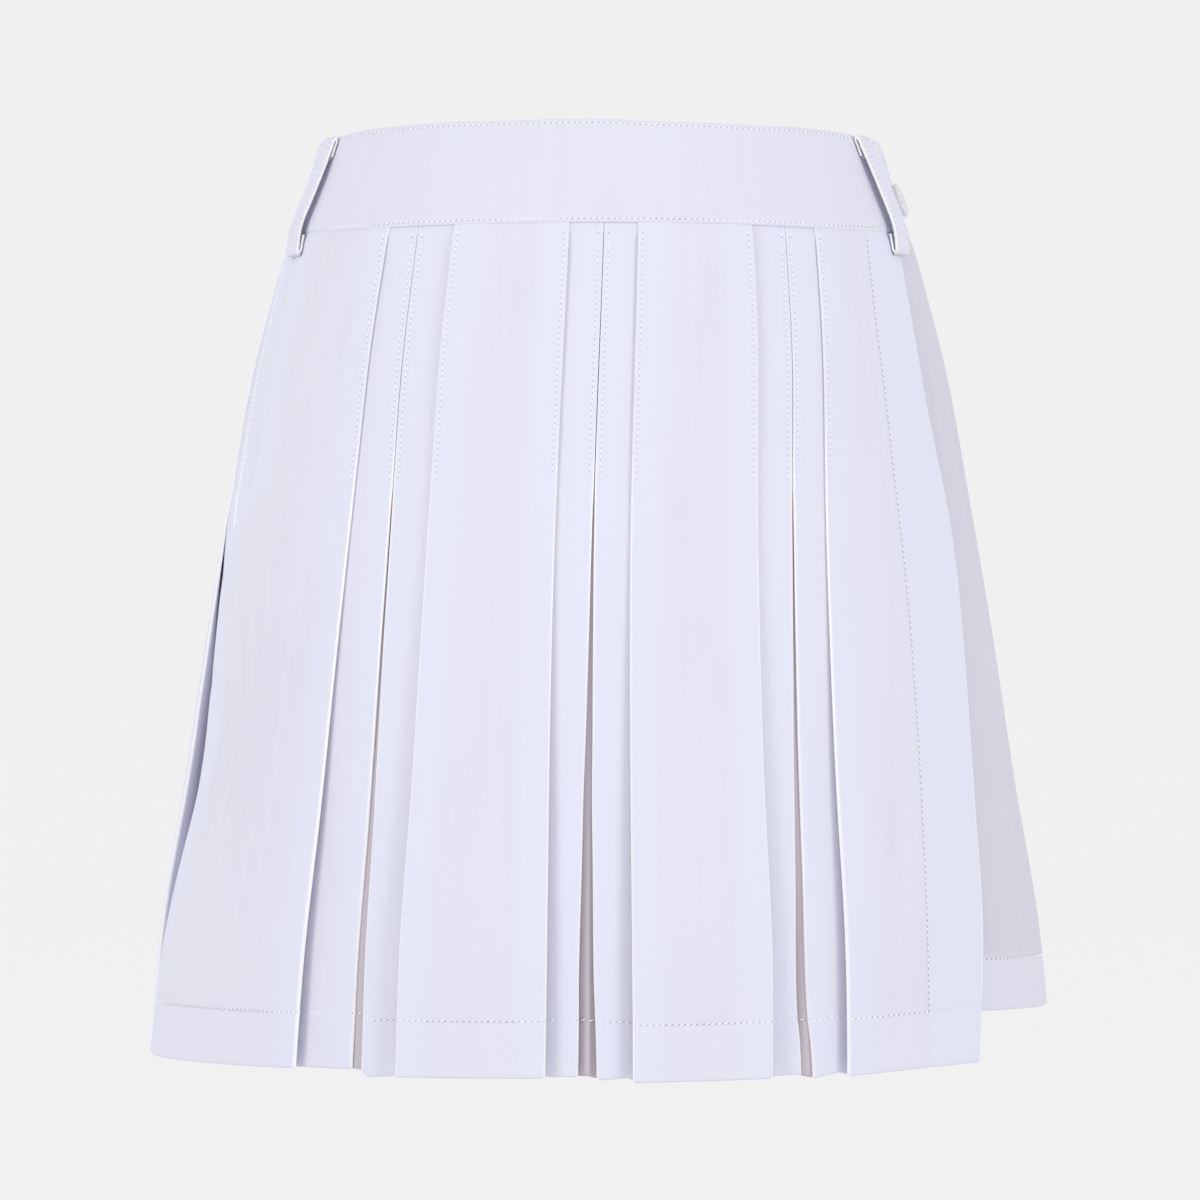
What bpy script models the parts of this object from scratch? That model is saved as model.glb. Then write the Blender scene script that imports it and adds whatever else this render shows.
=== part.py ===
"""A hollow wrap skort, as worn: a pleated wrap skirt over plain shorts, on one waistband.

The sizes below are in millimetres, and the meshes are in metres. +Z is up, the front faces -Y,
and +X is the wearer's left, where the wrap ends. The origin is the middle of the waistband.

Every piece is worked out on the same rings. A ring is a level ellipse, found by its drop below
the waistband's top edge. A turn is the angle round it from the front, in degrees, towards +X.
An arc is the same thing as a length of cloth. A depth is how far inside the ring a wall's
middle runs.
"""

import math

import bpy
import numpy as np
from mathutils import Matrix, Vector

MM = 0.001
COLLECTION = "wrap_skort"

# The rings: the garment's half width at each drop, and how deep it is for its width.
RING_DROP = (0, 25, 41, 65, 97, 153, 209, 281, 340, 396)
RING_HALF_WIDTH = (124, 131, 137, 143.8, 152, 162.4, 172, 183, 193, 198.5)
RING_DEPTH_RATIO = 0.762

# The waistband: one strip, from its under end round the back to its buttoned tab.
BAND_HEIGHT = 41.0
BAND_WALL = 2.5
BAND_SEAM_DROP = 40.4
SEAM_DIP = 2.2
SEAM_DIP_TURNS = (40.0, 85.0)
BAND_UNDER_END_TURN = 42.0
BAND_TAB_END_TURN = 360.0 + 86.5
BAND_COLUMN_TURN = 6.0
BAND_OVER_DEPTH = BAND_WALL / 2
BAND_LAYER_GAP = 0.4
BAND_UNDER_DEPTH = BAND_OVER_DEPTH + BAND_WALL + BAND_LAYER_GAP
BAND_STEP_OUT_TURNS = (87.5, 97.0)

# The skirt: a single wall from the waistband's seam to the hem.
CLOTH = 1.0
SKIRT_TOP_DROP = 41.25
HALF_SEAM_GAP = 0.15
SIDE_SEAM_TURN = 103.0
SKIRT_ROW_SHARES = (0, 0.09, 0.2, 0.305, 0.42, 0.55, 0.69, 0.84, 1)

# The pleats: each group is two folds that face each other over an underlay. They are stitched
# flat down to STITCH_END_DROP and spread from there to the hem.
STITCH_END_DROP = 148.0
HEM_DROP = 394.0
RETURN_WIDTH = 12.0
UNDERLAY_HALF_WIDTH = 14.0
LAYER_PITCH_STITCHED = 1.4
LAYER_PITCH_HEM = 2.6
CLOSED_OPENING = 0.4

# One row for each group: the turn of its centre line at the seam, at the end of the stitching
# and at the hem; the widths of its two narrow panels at the seam and at the hem, the one nearer
# the lower turn first; and how far the centre stands open at the hem.
PLEAT_COLUMNS = (
    "seam_turn", "stitch_turn", "hem_turn", "low_seam", "low_hem", "high_seam", "high_hem", "open_hem"
)
FRONT_PLEATS = {
    "right_side": (-80, -76, -85, 16, 20, 19, 12, 2),
    "right_front": (-33.5, -31.8, -30.2, 15.6, 31, 16.2, 17, 4.8),
    "centre_front": (0.7, -0.8, -1.3, 14.6, 18, 14.4, 18, 7.3),
    "left_front": (34.5, 29.6, 25.5, 15.5, 15.5, 15.5, 18.5, 4.8),
}
BACK_PLEATS = {
    "left_back": (146.5, 148.5, 150.5, 15.5, 19, 15.5, 18, 5),
    "centre_back": (180, 180, 180, 15, 18, 15, 18, 6),
    "right_back": (213.5, 211.5, 209.5, 15.5, 18, 15.5, 19, 5),
}
MAIN_PANEL_COLUMN_WIDTH = 13.0

# The right side group swings out below its stitching: the turns of its centre line and of the
# fold on its front side, at each drop.
SIDE_DROP = (41, 77, 106, 148, 172, 210, 240, 278, 317, 370, 394)
SIDE_CENTRE_TURN = (-81.5, -78.5, -77.3, -75.9, -75.0, -73.6, -73.0, -74.0, -77.2, -82.5, -85.0)
SIDE_FOLD_TURN = (-70.3, -69.0, -68.4, -67.2, -76.0, -74.1, -70.8, -71.0, -74.7, -79.5, -80.5)

# The front panels hang a little unevenly: the drop of their hem at each turn.
FRONT_HEM_TURN = (-103, -86, -81, -62, -43, -35, -32, -16, -6, 3, 10, 29, 35, 43, 54)
FRONT_HEM_DROP = (391, 391.5, 396.7, 395.5, 394, 393.5, 396, 395, 394, 395, 396.2, 396.2, 395.5, 396.5, 393.8)

# The wrap's free edge: its turn at each drop.
WRAP_EDGE_DROP = (41, 104, 167, 231, 311, 394)
WRAP_EDGE_TURN = (68.5, 64.1, 65.8, 63.0, 58.7, 53.8)

# The panel under the wrap, on the wearer's left: plain, and cut shorter.
UNDER_EDGE_ARC_SEAM = 114.0
UNDER_EDGE_ARC_HEM = 126.0
UNDER_HEM_DROP = 377.0
UNDER_LAYER_GAP = 0.4
UNDER_STEP_OUT_HEIGHT = 6.0
UNDER_COLUMNS = 15

# The shorts: a front and a back for each leg, joined on the centre plane, down the sides and
# down each inseam.
SHORTS_BODY_DROPS = (33.0, 36.0, 40.5, 48.0, 85.0, 125.0)
SHORTS_LEG_DROPS = (268.0, 298.0, 330.0)
SHORTS_BAND_CLEARANCE = 1.0
SHORTS_PANEL_COLUMNS = 11
SHORTS_RISE_DROP = 165.0
SHORTS_CROTCH_DROP = 250.0
SHORTS_CROTCH_CURVE = (0, 22, 42, 58, 72, 83, 90)
SHORTS_HEM_DROP = SHORTS_LEG_DROPS[-1]
SHORTS_CROTCH_HALF_GAP = 0.2
SHORTS_INSEAM_HALF_GAP = 0.25
SHORTS_INNER_LEG_SPREAD = 5.0
SHORTS_LEG_DEPTH_LOSS = 29.0

SHORTS_PANELS = {
    "shorts_front_left": (1, -1),
    "shorts_front_right": (-1, -1),
    "shorts_back_left": (1, 1),
    "shorts_back_right": (-1, 1),
}

# The belt loops: a strip folded under at both ends and bowed off the waistband, and a little
# slanted: the turn of its middle line at each of the drops below.
LOOP_TURNS = {
    "belt_loop_left": (64.4, 65.9, 67.4, 67.9, 66.8),
    "belt_loop_right": (-68.2, -69.0, -70.4, -71.2, -69.6),
}
LOOP_TURN_DROPS = (0, 12, 24, 36, 50)
LOOP_WIDTH = 12.5
LOOP_WALL = 1.0
# Down the loop, from its tucked top end to the end that the seam holds: drop and stand-off.
LOOP_DROP = (8.5, 4.5, 1.2, 0.1, 1.0, 5, 12, 21, 30, 39, 46, 49.6, 50.6, 49.4, 46, 42)
LOOP_STAND_OFF = (0.85, 0.85, 0.95, 1.7, 2.5, 3.0, 3.6, 3.9, 3.7, 3.2, 2.8, 2.4, 1.65, 1.0, 0.85, 0.85)

# The button: a rimmed disc on a thread shank, sewn through the tab.
BUTTON_TURN = 78.6
BUTTON_DROP = 26.0
BUTTON_RADIUS = 7.5
BUTTON_THICKNESS = 2.8
BUTTON_RIM_WIDTH = 1.6
BUTTON_DISH = 0.6
BUTTON_EDGE_ROUND = 0.6
BUTTON_SHANK_RADIUS = 1.6
BUTTON_SHANK_HEIGHT = 1.1
BUTTON_SEAT_GAP = 0.3
BUTTON_STEPS = 24


def smooth_through(value, stations, heights):
    """A curve through the stations that bends smoothly: a cubic between each two of them, whose
    slopes at the stations are the mean slopes of the stretches on either side."""
    x = np.asarray(stations, float)
    y = np.asarray(heights, float)
    slope = np.gradient(y, x)
    value = np.clip(value, x[0], x[-1])
    i = np.clip(np.searchsorted(x, value, side="right") - 1, 0, len(x) - 2)
    span = x[i + 1] - x[i]
    t = (value - x[i]) / span
    start = (1 + 2 * t) * (1 - t) ** 2 * y[i] + t * (1 - t) ** 2 * span * slope[i]
    end = t * t * (3 - 2 * t) * y[i + 1] - t * t * (1 - t) * span * slope[i + 1]
    return start + end


def ease(value, low, high):
    """0 below low, 1 above high, and a smooth S between them."""
    t = np.clip((value - low) / (high - low), 0.0, 1.0)
    return t * t * (3 - 2 * t)


def half_width(drop):
    return smooth_through(drop, RING_DROP, RING_HALF_WIDTH)


def unit_ring_arcs():
    """Turns from 180 degrees before the front to 540 after it, and the arc at each of them on a
    ring whose half width is 1. Every ring has the same proportions, so one table serves all."""
    turns = np.linspace(-180.0, 540.0, 1441)
    angle = np.radians(turns)
    speed = np.hypot(np.cos(angle), RING_DEPTH_RATIO * np.sin(angle))
    steps = (speed[1:] + speed[:-1]) / 2 * np.diff(angle)
    arcs = np.concatenate([[0.0], np.cumsum(steps)])
    return turns, arcs - np.interp(0.0, turns, arcs)


RING_TURNS, RING_ARCS = unit_ring_arcs()


def arc_at(drop, turn):
    return half_width(drop) * np.interp(turn, RING_TURNS, RING_ARCS)


def turn_at(drop, arc):
    return np.interp(arc / half_width(drop), RING_ARCS, RING_TURNS)


def on_ring(drop, turn, depth):
    """Points on the ring at this drop and turn, moved inwards by the depth along its normal."""
    angle = np.radians(turn)
    across = half_width(drop)
    deep = RING_DEPTH_RATIO * across
    normal_x = np.sin(angle) / across
    normal_y = -np.cos(angle) / deep
    length = np.hypot(normal_x, normal_y)
    x = across * np.sin(angle) - depth * normal_x / length
    y = -deep * np.cos(angle) - depth * normal_y / length
    z = BAND_HEIGHT / 2 - drop
    return np.stack(np.broadcast_arrays(x, y, z), axis=-1)


def seam_dip(turn):
    """How far the seam under the waistband hangs lower in front than at the sides and back."""
    from_front = np.abs((turn + 180.0) % 360.0 - 180.0)
    return SEAM_DIP * (1 - ease(from_front, *SEAM_DIP_TURNS))


def make_material(name, colour, roughness):
    material = bpy.data.materials.new(name)
    material.use_nodes = True
    shader = material.node_tree.nodes["Principled BSDF"]
    shader.inputs["Base Color"].default_value = (*colour, 1.0)
    shader.inputs["Roughness"].default_value = roughness
    shader.inputs["Metallic"].default_value = 0.0
    return material


def add_mesh(name, points, faces, colour, roughness):
    """One node: its mesh in metres, its own material, and its place in the object's collection."""
    mesh = bpy.data.meshes.new(name)
    mesh.from_pydata((np.asarray(points) * MM).tolist(), [], faces)
    mesh.update()
    piece = bpy.data.objects.new(name, mesh)
    bpy.data.collections[COLLECTION].objects.link(piece)
    mesh.materials.append(make_material(name, colour, roughness))
    return piece


def add_wall(name, grid, thickness, colour):
    """A grid of points, rows by columns, as an open surface with Solidify on both its sides."""
    rows, columns = grid.shape[:2]
    corner = np.arange(rows * columns).reshape(rows, columns)
    quads = np.stack([corner[:-1, :-1], corner[1:, :-1], corner[1:, 1:], corner[:-1, 1:]], axis=-1)
    wall = add_mesh(name, grid.reshape(-1, 3), quads.reshape(-1, 4).tolist(), colour, 0.85)
    solidify = wall.modifiers.new("cloth thickness", "SOLIDIFY")
    solidify.thickness = thickness * MM
    solidify.offset = 0.0
    solidify.use_even_offset = True
    solidify.use_quality_normals = True
    return wall


# One pleat group, from its low turn to its high turn: the corners of its folds as measures from
# the centre line, the layer that each lies in, and the columns added between corners.
FOLD_LAYERS = np.array([0, 1, 1, 2, 2, 3, 3, 4, 4, 3, 3, 2, 2, 1, 1, 0])
FOLD_EXTRA_COLUMNS = (0, 1, 0, 2, 0, 1, 0, 3, 0, 1, 0, 2, 0, 1, 0)


def pleat_section(drop, pleat):
    """Arcs and layers of one pleat group at this drop, in the order that the cloth runs."""
    size = dict(zip(PLEAT_COLUMNS, pleat))
    fall = (drop - SKIRT_TOP_DROP) / (HEM_DROP - SKIRT_TOP_DROP)
    stations = (SKIRT_TOP_DROP, STITCH_END_DROP, HEM_DROP)
    turn = smooth_through(drop, stations, (size["seam_turn"], size["stitch_turn"], size["hem_turn"]))
    low = size["low_seam"] + (size["low_hem"] - size["low_seam"]) * fall
    high = size["high_seam"] + (size["high_hem"] - size["high_seam"]) * fall
    centre = arc_at(drop, turn)
    if pleat is FRONT_PLEATS["right_side"]:
        centre = arc_at(drop, smooth_through(drop, SIDE_DROP, SIDE_CENTRE_TURN))
        high = arc_at(drop, smooth_through(drop, SIDE_DROP, SIDE_FOLD_TURN)) - centre
    spread = np.clip((drop - STITCH_END_DROP) / (HEM_DROP - STITCH_END_DROP), 0.0, 1.0) ** 1.5
    centre_fold = (CLOTH + CLOSED_OPENING + (size["open_hem"] - CLOSED_OPENING) * spread) / 2
    low_half = (low, low, low + RETURN_WIDTH, low + RETURN_WIDTH)
    high_half = (high + RETURN_WIDTH, high + RETURN_WIDTH, high, high)
    middle = (centre_fold, centre_fold, UNDERLAY_HALF_WIDTH, UNDERLAY_HALF_WIDTH)
    measures = np.concatenate([-np.array(low_half + middle), np.array(middle[::-1] + high_half)])
    steps = [np.arange(extra + 1) / (extra + 1) + i for i, extra in enumerate(FOLD_EXTRA_COLUMNS)]
    place = np.append(np.concatenate(steps), len(measures) - 1)
    corner = np.arange(len(measures))
    arcs = centre + np.interp(place, corner, measures)
    return arcs, np.interp(place, corner, FOLD_LAYERS)


def pleated_row(drop, pleats, start_arc, end_arc, panel_columns):
    """Turns and depths along one level of a pleated panel, from one edge to the other. Main
    panels run between the groups, with the same number of columns at every level."""
    arcs = [np.array([start_arc])]
    layers = [np.zeros(1)]
    for pleat, count in zip(pleats, panel_columns):
        fold_arcs, fold_layers = pleat_section(drop, pleat)
        main = np.linspace(arcs[-1][-1], fold_arcs[0], count + 2)[1:-1]
        arcs += [main, fold_arcs]
        layers += [np.zeros(count), fold_layers]
    last = np.linspace(arcs[-1][-1], end_arc, panel_columns[-1] + 2)[1:]
    arcs.append(last)
    layers.append(np.zeros(len(last)))
    opened = ease(drop, STITCH_END_DROP, HEM_DROP)
    pitch = LAYER_PITCH_STITCHED + (LAYER_PITCH_HEM - LAYER_PITCH_STITCHED) * opened
    depth = CLOTH / 2 + pitch * np.concatenate(layers)
    return turn_at(drop, np.concatenate(arcs)), depth


def panel_column_counts(drop, pleats, start_arc, end_arc):
    """How many columns each main panel needs, from its width at this drop."""
    edges = [start_arc]
    for pleat in pleats:
        fold_arcs, _ = pleat_section(drop, pleat)
        edges += [fold_arcs[0], fold_arcs[-1]]
    widths = np.diff(np.array(edges + [end_arc]))[::2]
    return [max(1, int(round(width / MAIN_PANEL_COLUMN_WIDTH)) - 1) for width in widths]


def pleated_panel(name, pleats, start_arc_at, end_arc_at, hem_drop_at, colour):
    """A pleated panel: its rows fall from the seam to a hem whose drop depends on the turn."""
    counts = panel_column_counts(HEM_DROP, pleats, start_arc_at(HEM_DROP), end_arc_at(HEM_DROP))
    rows = []
    for share in SKIRT_ROW_SHARES:
        level = SKIRT_TOP_DROP + share * (HEM_DROP - SKIRT_TOP_DROP)
        turns, depths = pleated_row(level, pleats, start_arc_at(level), end_arc_at(level), counts)
        top_drop = SKIRT_TOP_DROP + seam_dip(turns)
        drop = top_drop + share * (hem_drop_at(turns) - top_drop)
        rows.append(on_ring(drop, turns, depths))
    return add_wall(name, np.array(rows), CLOTH, colour)


def add_front_wrap():
    """The wrap panel, from the wearer's right side seam across the front to its free edge."""
    def side_seam(drop):
        return arc_at(drop, -SIDE_SEAM_TURN) + HALF_SEAM_GAP

    def free_edge(drop):
        return arc_at(drop, smooth_through(drop, WRAP_EDGE_DROP, WRAP_EDGE_TURN))

    def hem(turn):
        return np.interp(turn, FRONT_HEM_TURN, FRONT_HEM_DROP)

    pleats = list(FRONT_PLEATS.values())
    return pleated_panel("skirt_front_wrap", pleats, side_seam, free_edge, hem, (0.79, 0.79, 0.90))


def back_hem_drop(turn):
    """The back hem meets the panel under the wrap on one side and the wrap panel on the other."""
    return UNDER_HEM_DROP + (HEM_DROP - 3.0 - UNDER_HEM_DROP) * ease(turn, SIDE_SEAM_TURN, 250.0)


def add_back():
    def left_seam(drop):
        return arc_at(drop, SIDE_SEAM_TURN) + HALF_SEAM_GAP

    def right_seam(drop):
        return arc_at(drop, 360.0 - SIDE_SEAM_TURN) - HALF_SEAM_GAP

    pleats = list(BACK_PLEATS.values())
    return pleated_panel("skirt_back", pleats, left_seam, right_seam, back_hem_drop, (0.76, 0.76, 0.87))


def band_depth(turn):
    """The strip's depth: under its own tab first, then stepping out to the ring."""
    step = ease(turn, *BAND_STEP_OUT_TURNS)
    return BAND_UNDER_DEPTH + (BAND_OVER_DEPTH - BAND_UNDER_DEPTH) * step


def add_front_under():
    """The plain panel under the wrap. Its top edge hangs from the waistband's under layer, and it
    comes out to the ring below the tab and past the wrap's edge."""
    rows = []
    for share in SKIRT_ROW_SHARES:
        drop = SKIRT_TOP_DROP + share * (UNDER_HEM_DROP - SKIRT_TOP_DROP)
        start = UNDER_EDGE_ARC_SEAM + (UNDER_EDGE_ARC_HEM - UNDER_EDGE_ARC_SEAM) * share
        end = arc_at(drop, SIDE_SEAM_TURN) - HALF_SEAM_GAP
        arcs = np.linspace(start, end, UNDER_COLUMNS)
        turns = turn_at(drop, arcs)
        wrap_arc = arc_at(drop, smooth_through(drop, WRAP_EDGE_DROP, WRAP_EDGE_TURN))
        covered = 1 - ease(arcs, wrap_arc + 2.0, wrap_arc + 16.0)
        low_depth = CLOTH / 2 + (CLOTH + UNDER_LAYER_GAP) * covered
        at_seam = 1 - ease(drop, SKIRT_TOP_DROP, SKIRT_TOP_DROP + UNDER_STEP_OUT_HEIGHT)
        seam_depth = np.maximum(band_depth(turns) - (BAND_WALL - CLOTH) / 2, low_depth)
        depth = low_depth + (seam_depth - low_depth) * at_seam
        rows.append(on_ring(drop + (1 - share) * seam_dip(turns), turns, depth))
    return add_wall("skirt_front_under", np.array(rows), CLOTH, (0.70, 0.70, 0.80))


def add_waistband():
    """One strip that laps over its own end: level rows at the top edge, the middle and the seam."""
    columns = int((BAND_TAB_END_TURN - BAND_UNDER_END_TURN) // BAND_COLUMN_TURN)
    turns = BAND_UNDER_END_TURN + BAND_COLUMN_TURN * np.arange(columns + 1)
    turns = np.append(turns, BAND_TAB_END_TURN)
    rows = []
    for share in (0.0, 0.5, 1.0):
        drop = share * (BAND_SEAM_DROP + seam_dip(turns))
        rows.append(on_ring(drop, turns, band_depth(turns)))
    return add_wall("waistband", np.array(rows), BAND_WALL, (0.77, 0.77, 0.88))


def shorts_clearance(drop, turn):
    """How far inside the ring the shorts run. Their top edge is stitched inside the waistband,
    which is double under the tab, and then they pass inside the folded pleats."""
    doubled = ease(turn, BAND_UNDER_END_TURN - 10, BAND_UNDER_END_TURN - 2)
    doubled = doubled * (1 - ease(turn, BAND_STEP_OUT_TURNS[0] + 4, BAND_STEP_OUT_TURNS[1] + 6))
    band_face = BAND_WALL + (BAND_WALL + BAND_LAYER_GAP) * doubled
    at_band = band_face + SHORTS_BAND_CLEARANCE
    inside_pleats = smooth_through(drop, (40.5, 48, 90, 165, 250, 330), (7.8, 8.0, 9.5, 13, 20, 28))
    return at_band + (inside_pleats - at_band) * ease(drop, 36.0, 40.5)


def add_shorts_panel(name, side, facing):
    """One quarter of the shorts, as level stretches of an oval from the side seam to its inner
    edge. side is 1 on the wearer's left and -1 on the right, facing is -1 in front and 1 behind.
    Down to the rise the stretch is a quarter turn. Then its inner edge closes in on the centre
    plane along a round crotch seam, and below the crotch two panels make a whole leg, which
    closes at the inseam."""
    rise_depth = SHORTS_CROTCH_DROP - SHORTS_RISE_DROP
    curve = np.radians(SHORTS_CROTCH_CURVE)
    drops = SHORTS_BODY_DROPS + tuple(SHORTS_RISE_DROP + rise_depth * np.sin(curve)) + SHORTS_LEG_DROPS
    closings = [0.0] * len(SHORTS_BODY_DROPS) + list(curve) + [math.pi / 2] * len(SHORTS_LEG_DROPS)
    share = np.linspace(0.0, 1.0, SHORTS_PANEL_COLUMNS)
    rows = []
    for drop, closing in zip(drops, closings):
        across = half_width(drop)
        seam_angle = HALF_SEAM_GAP / (RING_DEPTH_RATIO * across)
        angle = seam_angle + (math.pi / 2 + closing - seam_angle) * share
        turn = 90.0 + facing * np.degrees(angle)
        clearance = shorts_clearance(drop, turn if side > 0 else 360.0 - turn)
        legs_apart = SHORTS_INNER_LEG_SPREAD * ease(drop, SHORTS_CROTCH_DROP, SHORTS_HEM_DROP)
        inner = SHORTS_CROTCH_HALF_GAP + (CLOTH / 2 + 0.1) * math.sin(closing) + legs_apart
        outer = across - clearance
        half = (outer - inner) / (1 + math.sin(closing))
        x = outer - half + half * np.cos(angle)
        loss = SHORTS_LEG_DEPTH_LOSS * ease(drop, SHORTS_RISE_DROP - 20.0, SHORTS_CROTCH_DROP)
        y = (across * RING_DEPTH_RATIO - clearance - loss) * np.sin(angle)
        y[-1] = max(y[-1], SHORTS_INSEAM_HALF_GAP)
        z = np.full_like(x, BAND_HEIGHT / 2 - drop)
        rows.append(np.stack([side * x, facing * y, z], axis=-1))
    return add_wall(name, np.array(rows), CLOTH, (0.74, 0.74, 0.84))


def add_belt_loop(name, line):
    """A strip across the waistband: its profile runs down the band, its width round the ring."""
    across = np.array([-LOOP_WIDTH / 2, 0.0, LOOP_WIDTH / 2])
    rows = []
    for drop, stand_off in zip(LOOP_DROP, LOOP_STAND_OFF):
        middle = arc_at(drop, smooth_through(drop, LOOP_TURN_DROPS, line))
        rows.append(on_ring(drop, turn_at(drop, middle + across), -stand_off))
    return add_wall(name, np.array(rows), LOOP_WALL, (0.78, 0.78, 0.89))


def surface_frame(drop, turn):
    """A point on the ring's surface there, and the directions outwards, round and up along it."""
    here = on_ring(drop, turn, 0.0)
    below = on_ring(drop + 1.0, turn, 0.0)
    beside = on_ring(drop, turn + 0.5, 0.0)
    up = (here - below) / np.linalg.norm(here - below)
    out = np.cross(beside - here, up)
    out = out / np.linalg.norm(out)
    return here, out, np.cross(up, out), up


def add_button():
    """A turned disc: shank, flat back, rounded rim and dished face, with Screw about its axis."""
    back = BUTTON_SEAT_GAP + BUTTON_SHANK_HEIGHT
    front = back + BUTTON_THICKNESS
    dish = front - BUTTON_DISH
    round_in = BUTTON_RADIUS - BUTTON_EDGE_ROUND
    profile = (
        (0.0, BUTTON_SEAT_GAP),
        (BUTTON_SHANK_RADIUS, BUTTON_SEAT_GAP),
        (BUTTON_SHANK_RADIUS, back),
        (round_in, back),
        (BUTTON_RADIUS, back + BUTTON_EDGE_ROUND),
        (BUTTON_RADIUS, front - BUTTON_EDGE_ROUND),
        (round_in, front),
        (BUTTON_RADIUS - BUTTON_RIM_WIDTH, front),
        (BUTTON_RADIUS - BUTTON_RIM_WIDTH - BUTTON_DISH, dish),
        (0.0, dish),
    )
    points = [(radius, 0.0, height) for radius, height in reversed(profile)]
    mesh = bpy.data.meshes.new("button")
    edges = [(i, i + 1) for i in range(len(points) - 1)]
    mesh.from_pydata((np.array(points) * MM).tolist(), edges, [])
    button = bpy.data.objects.new("button", mesh)
    bpy.data.collections[COLLECTION].objects.link(button)
    mesh.materials.append(make_material("button", (0.80, 0.80, 0.84), 0.3))
    screw = button.modifiers.new("turned", "SCREW")
    screw.axis = "Z"
    screw.steps = BUTTON_STEPS
    screw.render_steps = BUTTON_STEPS
    screw.use_merge_vertices = True
    screw.merge_threshold = 0.00001
    here, out, round_way, up = surface_frame(BUTTON_DROP, BUTTON_TURN)
    axes = Matrix(np.column_stack([round_way, up, out]).tolist()).to_4x4()
    button.matrix_world = Matrix.Translation(Vector(here * MM)) @ axes
    return button


def clear_scene():
    for old in list(bpy.data.objects):
        bpy.data.objects.remove(old, do_unlink=True)
    collection = bpy.data.collections.new(COLLECTION)
    bpy.context.scene.collection.children.link(collection)


def main():
    clear_scene()
    add_waistband()
    add_front_wrap()
    add_front_under()
    add_back()
    for name, (side, facing) in SHORTS_PANELS.items():
        add_shorts_panel(name, side, facing)
    for name, line in LOOP_TURNS.items():
        add_belt_loop(name, line)
    add_button()


main()
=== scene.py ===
"""The looks of the wrap skort: cloth shells on the CAD part's form, with their stitching.

Sizes are in millimetres until a mesh is made, which is in metres. The front faces -Y, +X is the
wearer's left, and drops are measured down from the waistband's top edge, as in part.py.
"""

import math
from collections import namedtuple

import bpy
import numpy as np
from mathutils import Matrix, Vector

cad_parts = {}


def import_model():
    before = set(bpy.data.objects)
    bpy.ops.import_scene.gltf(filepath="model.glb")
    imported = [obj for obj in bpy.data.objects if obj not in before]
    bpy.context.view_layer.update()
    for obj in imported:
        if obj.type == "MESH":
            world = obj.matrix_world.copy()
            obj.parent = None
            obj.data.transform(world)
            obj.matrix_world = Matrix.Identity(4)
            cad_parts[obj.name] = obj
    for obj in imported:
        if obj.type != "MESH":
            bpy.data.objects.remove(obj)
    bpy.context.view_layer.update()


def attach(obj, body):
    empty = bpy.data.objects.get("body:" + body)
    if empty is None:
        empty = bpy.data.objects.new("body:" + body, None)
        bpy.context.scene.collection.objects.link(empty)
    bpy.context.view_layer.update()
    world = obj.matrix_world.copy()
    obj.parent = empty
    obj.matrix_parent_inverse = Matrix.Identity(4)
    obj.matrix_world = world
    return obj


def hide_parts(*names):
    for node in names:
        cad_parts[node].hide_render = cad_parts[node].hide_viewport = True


MM = 0.001

# ---------------------------------------------------------------- the form, as in part.py
RING_DROP = (0, 25, 41, 65, 97, 153, 209, 281, 340, 396)
RING_HALF_WIDTH = (124, 131, 137, 143.8, 152, 162.4, 172, 183, 193, 198.5)
RING_DEPTH_RATIO = 0.762
BAND_HEIGHT = 41.0
BAND_SEAM_DROP = 40.4
SEAM_DIP = 2.2
SEAM_DIP_TURNS = (40.0, 85.0)
BAND_UNDER_END_TURN = 42.0
BAND_TAB_END_TURN = 360.0 + 86.5
BAND_OVER_DEPTH = 1.25
BAND_UNDER_DEPTH = 4.15
BAND_STEP_OUT_TURNS = (87.5, 97.0)
SKIRT_TOP_DROP = 41.25
SIDE_SEAM_TURN = 103.0
STITCH_END_DROP = 148.0
HEM_DROP = 394.0
RETURN_WIDTH = 12.0
UNDERLAY_HALF_WIDTH = 14.0
PLEAT_COLUMNS = (
    "seam_turn", "stitch_turn", "hem_turn", "low_seam", "low_hem", "high_seam", "high_hem", "open_hem"
)
FRONT_PLEATS = {
    "right_side": (-80, -76, -85, 16, 20, 19, 12, 1),
    "right_front": (-33.5, -31.8, -30.2, 15.6, 31, 16.2, 17, 4.8),
    "centre_front": (0.7, -0.8, -1.3, 14.6, 18, 14.4, 18, 7.9),
    "left_front": (34.5, 29.6, 25.5, 15.5, 15.5, 15.5, 18.5, 5.6),
}
BACK_PLEATS = {
    "left_back": (146.5, 148.5, 150.5, 15.5, 19, 15.5, 18, 5),
    "centre_back": (180, 180, 180, 15, 18, 15, 18, 6),
    "right_back": (213.5, 211.5, 209.5, 15.5, 18, 15.5, 19, 5),
}
PLEATS = FRONT_PLEATS | BACK_PLEATS
SIDE_DROP = (41, 77, 106, 148, 172, 210, 240, 278, 317, 370, 394)
SIDE_CENTRE_TURN = (-81.5, -78.5, -77.3, -75.9, -75.0, -73.6, -73.0, -74.0, -77.2, -82.5, -85.0)
SIDE_FOLD_TURN = (-70.3, -69.0, -68.4, -67.2, -76.0, -74.1, -70.8, -71.0, -74.7, -79.5, -80.5)
FRONT_HEM_TURN = (-103, -84, -78, -60, -40.5, -31, -29.5, -25, -6.5, -1.5,
                  0, 3.3, 4.2, 20, 24.5, 27, 30.7, 31.5, 44, 54)
FRONT_HEM_DROP = (391, 391.5, 396.1, 394.8, 393.5, 393, 396, 395.1, 394.3, 394,
                  395.4, 394.6, 396, 395.3, 394.3, 396.2, 394.2, 395.3, 393.8, 393.6)
WRAP_EDGE_DROP = (41, 104, 167, 231, 311, 394)
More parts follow.
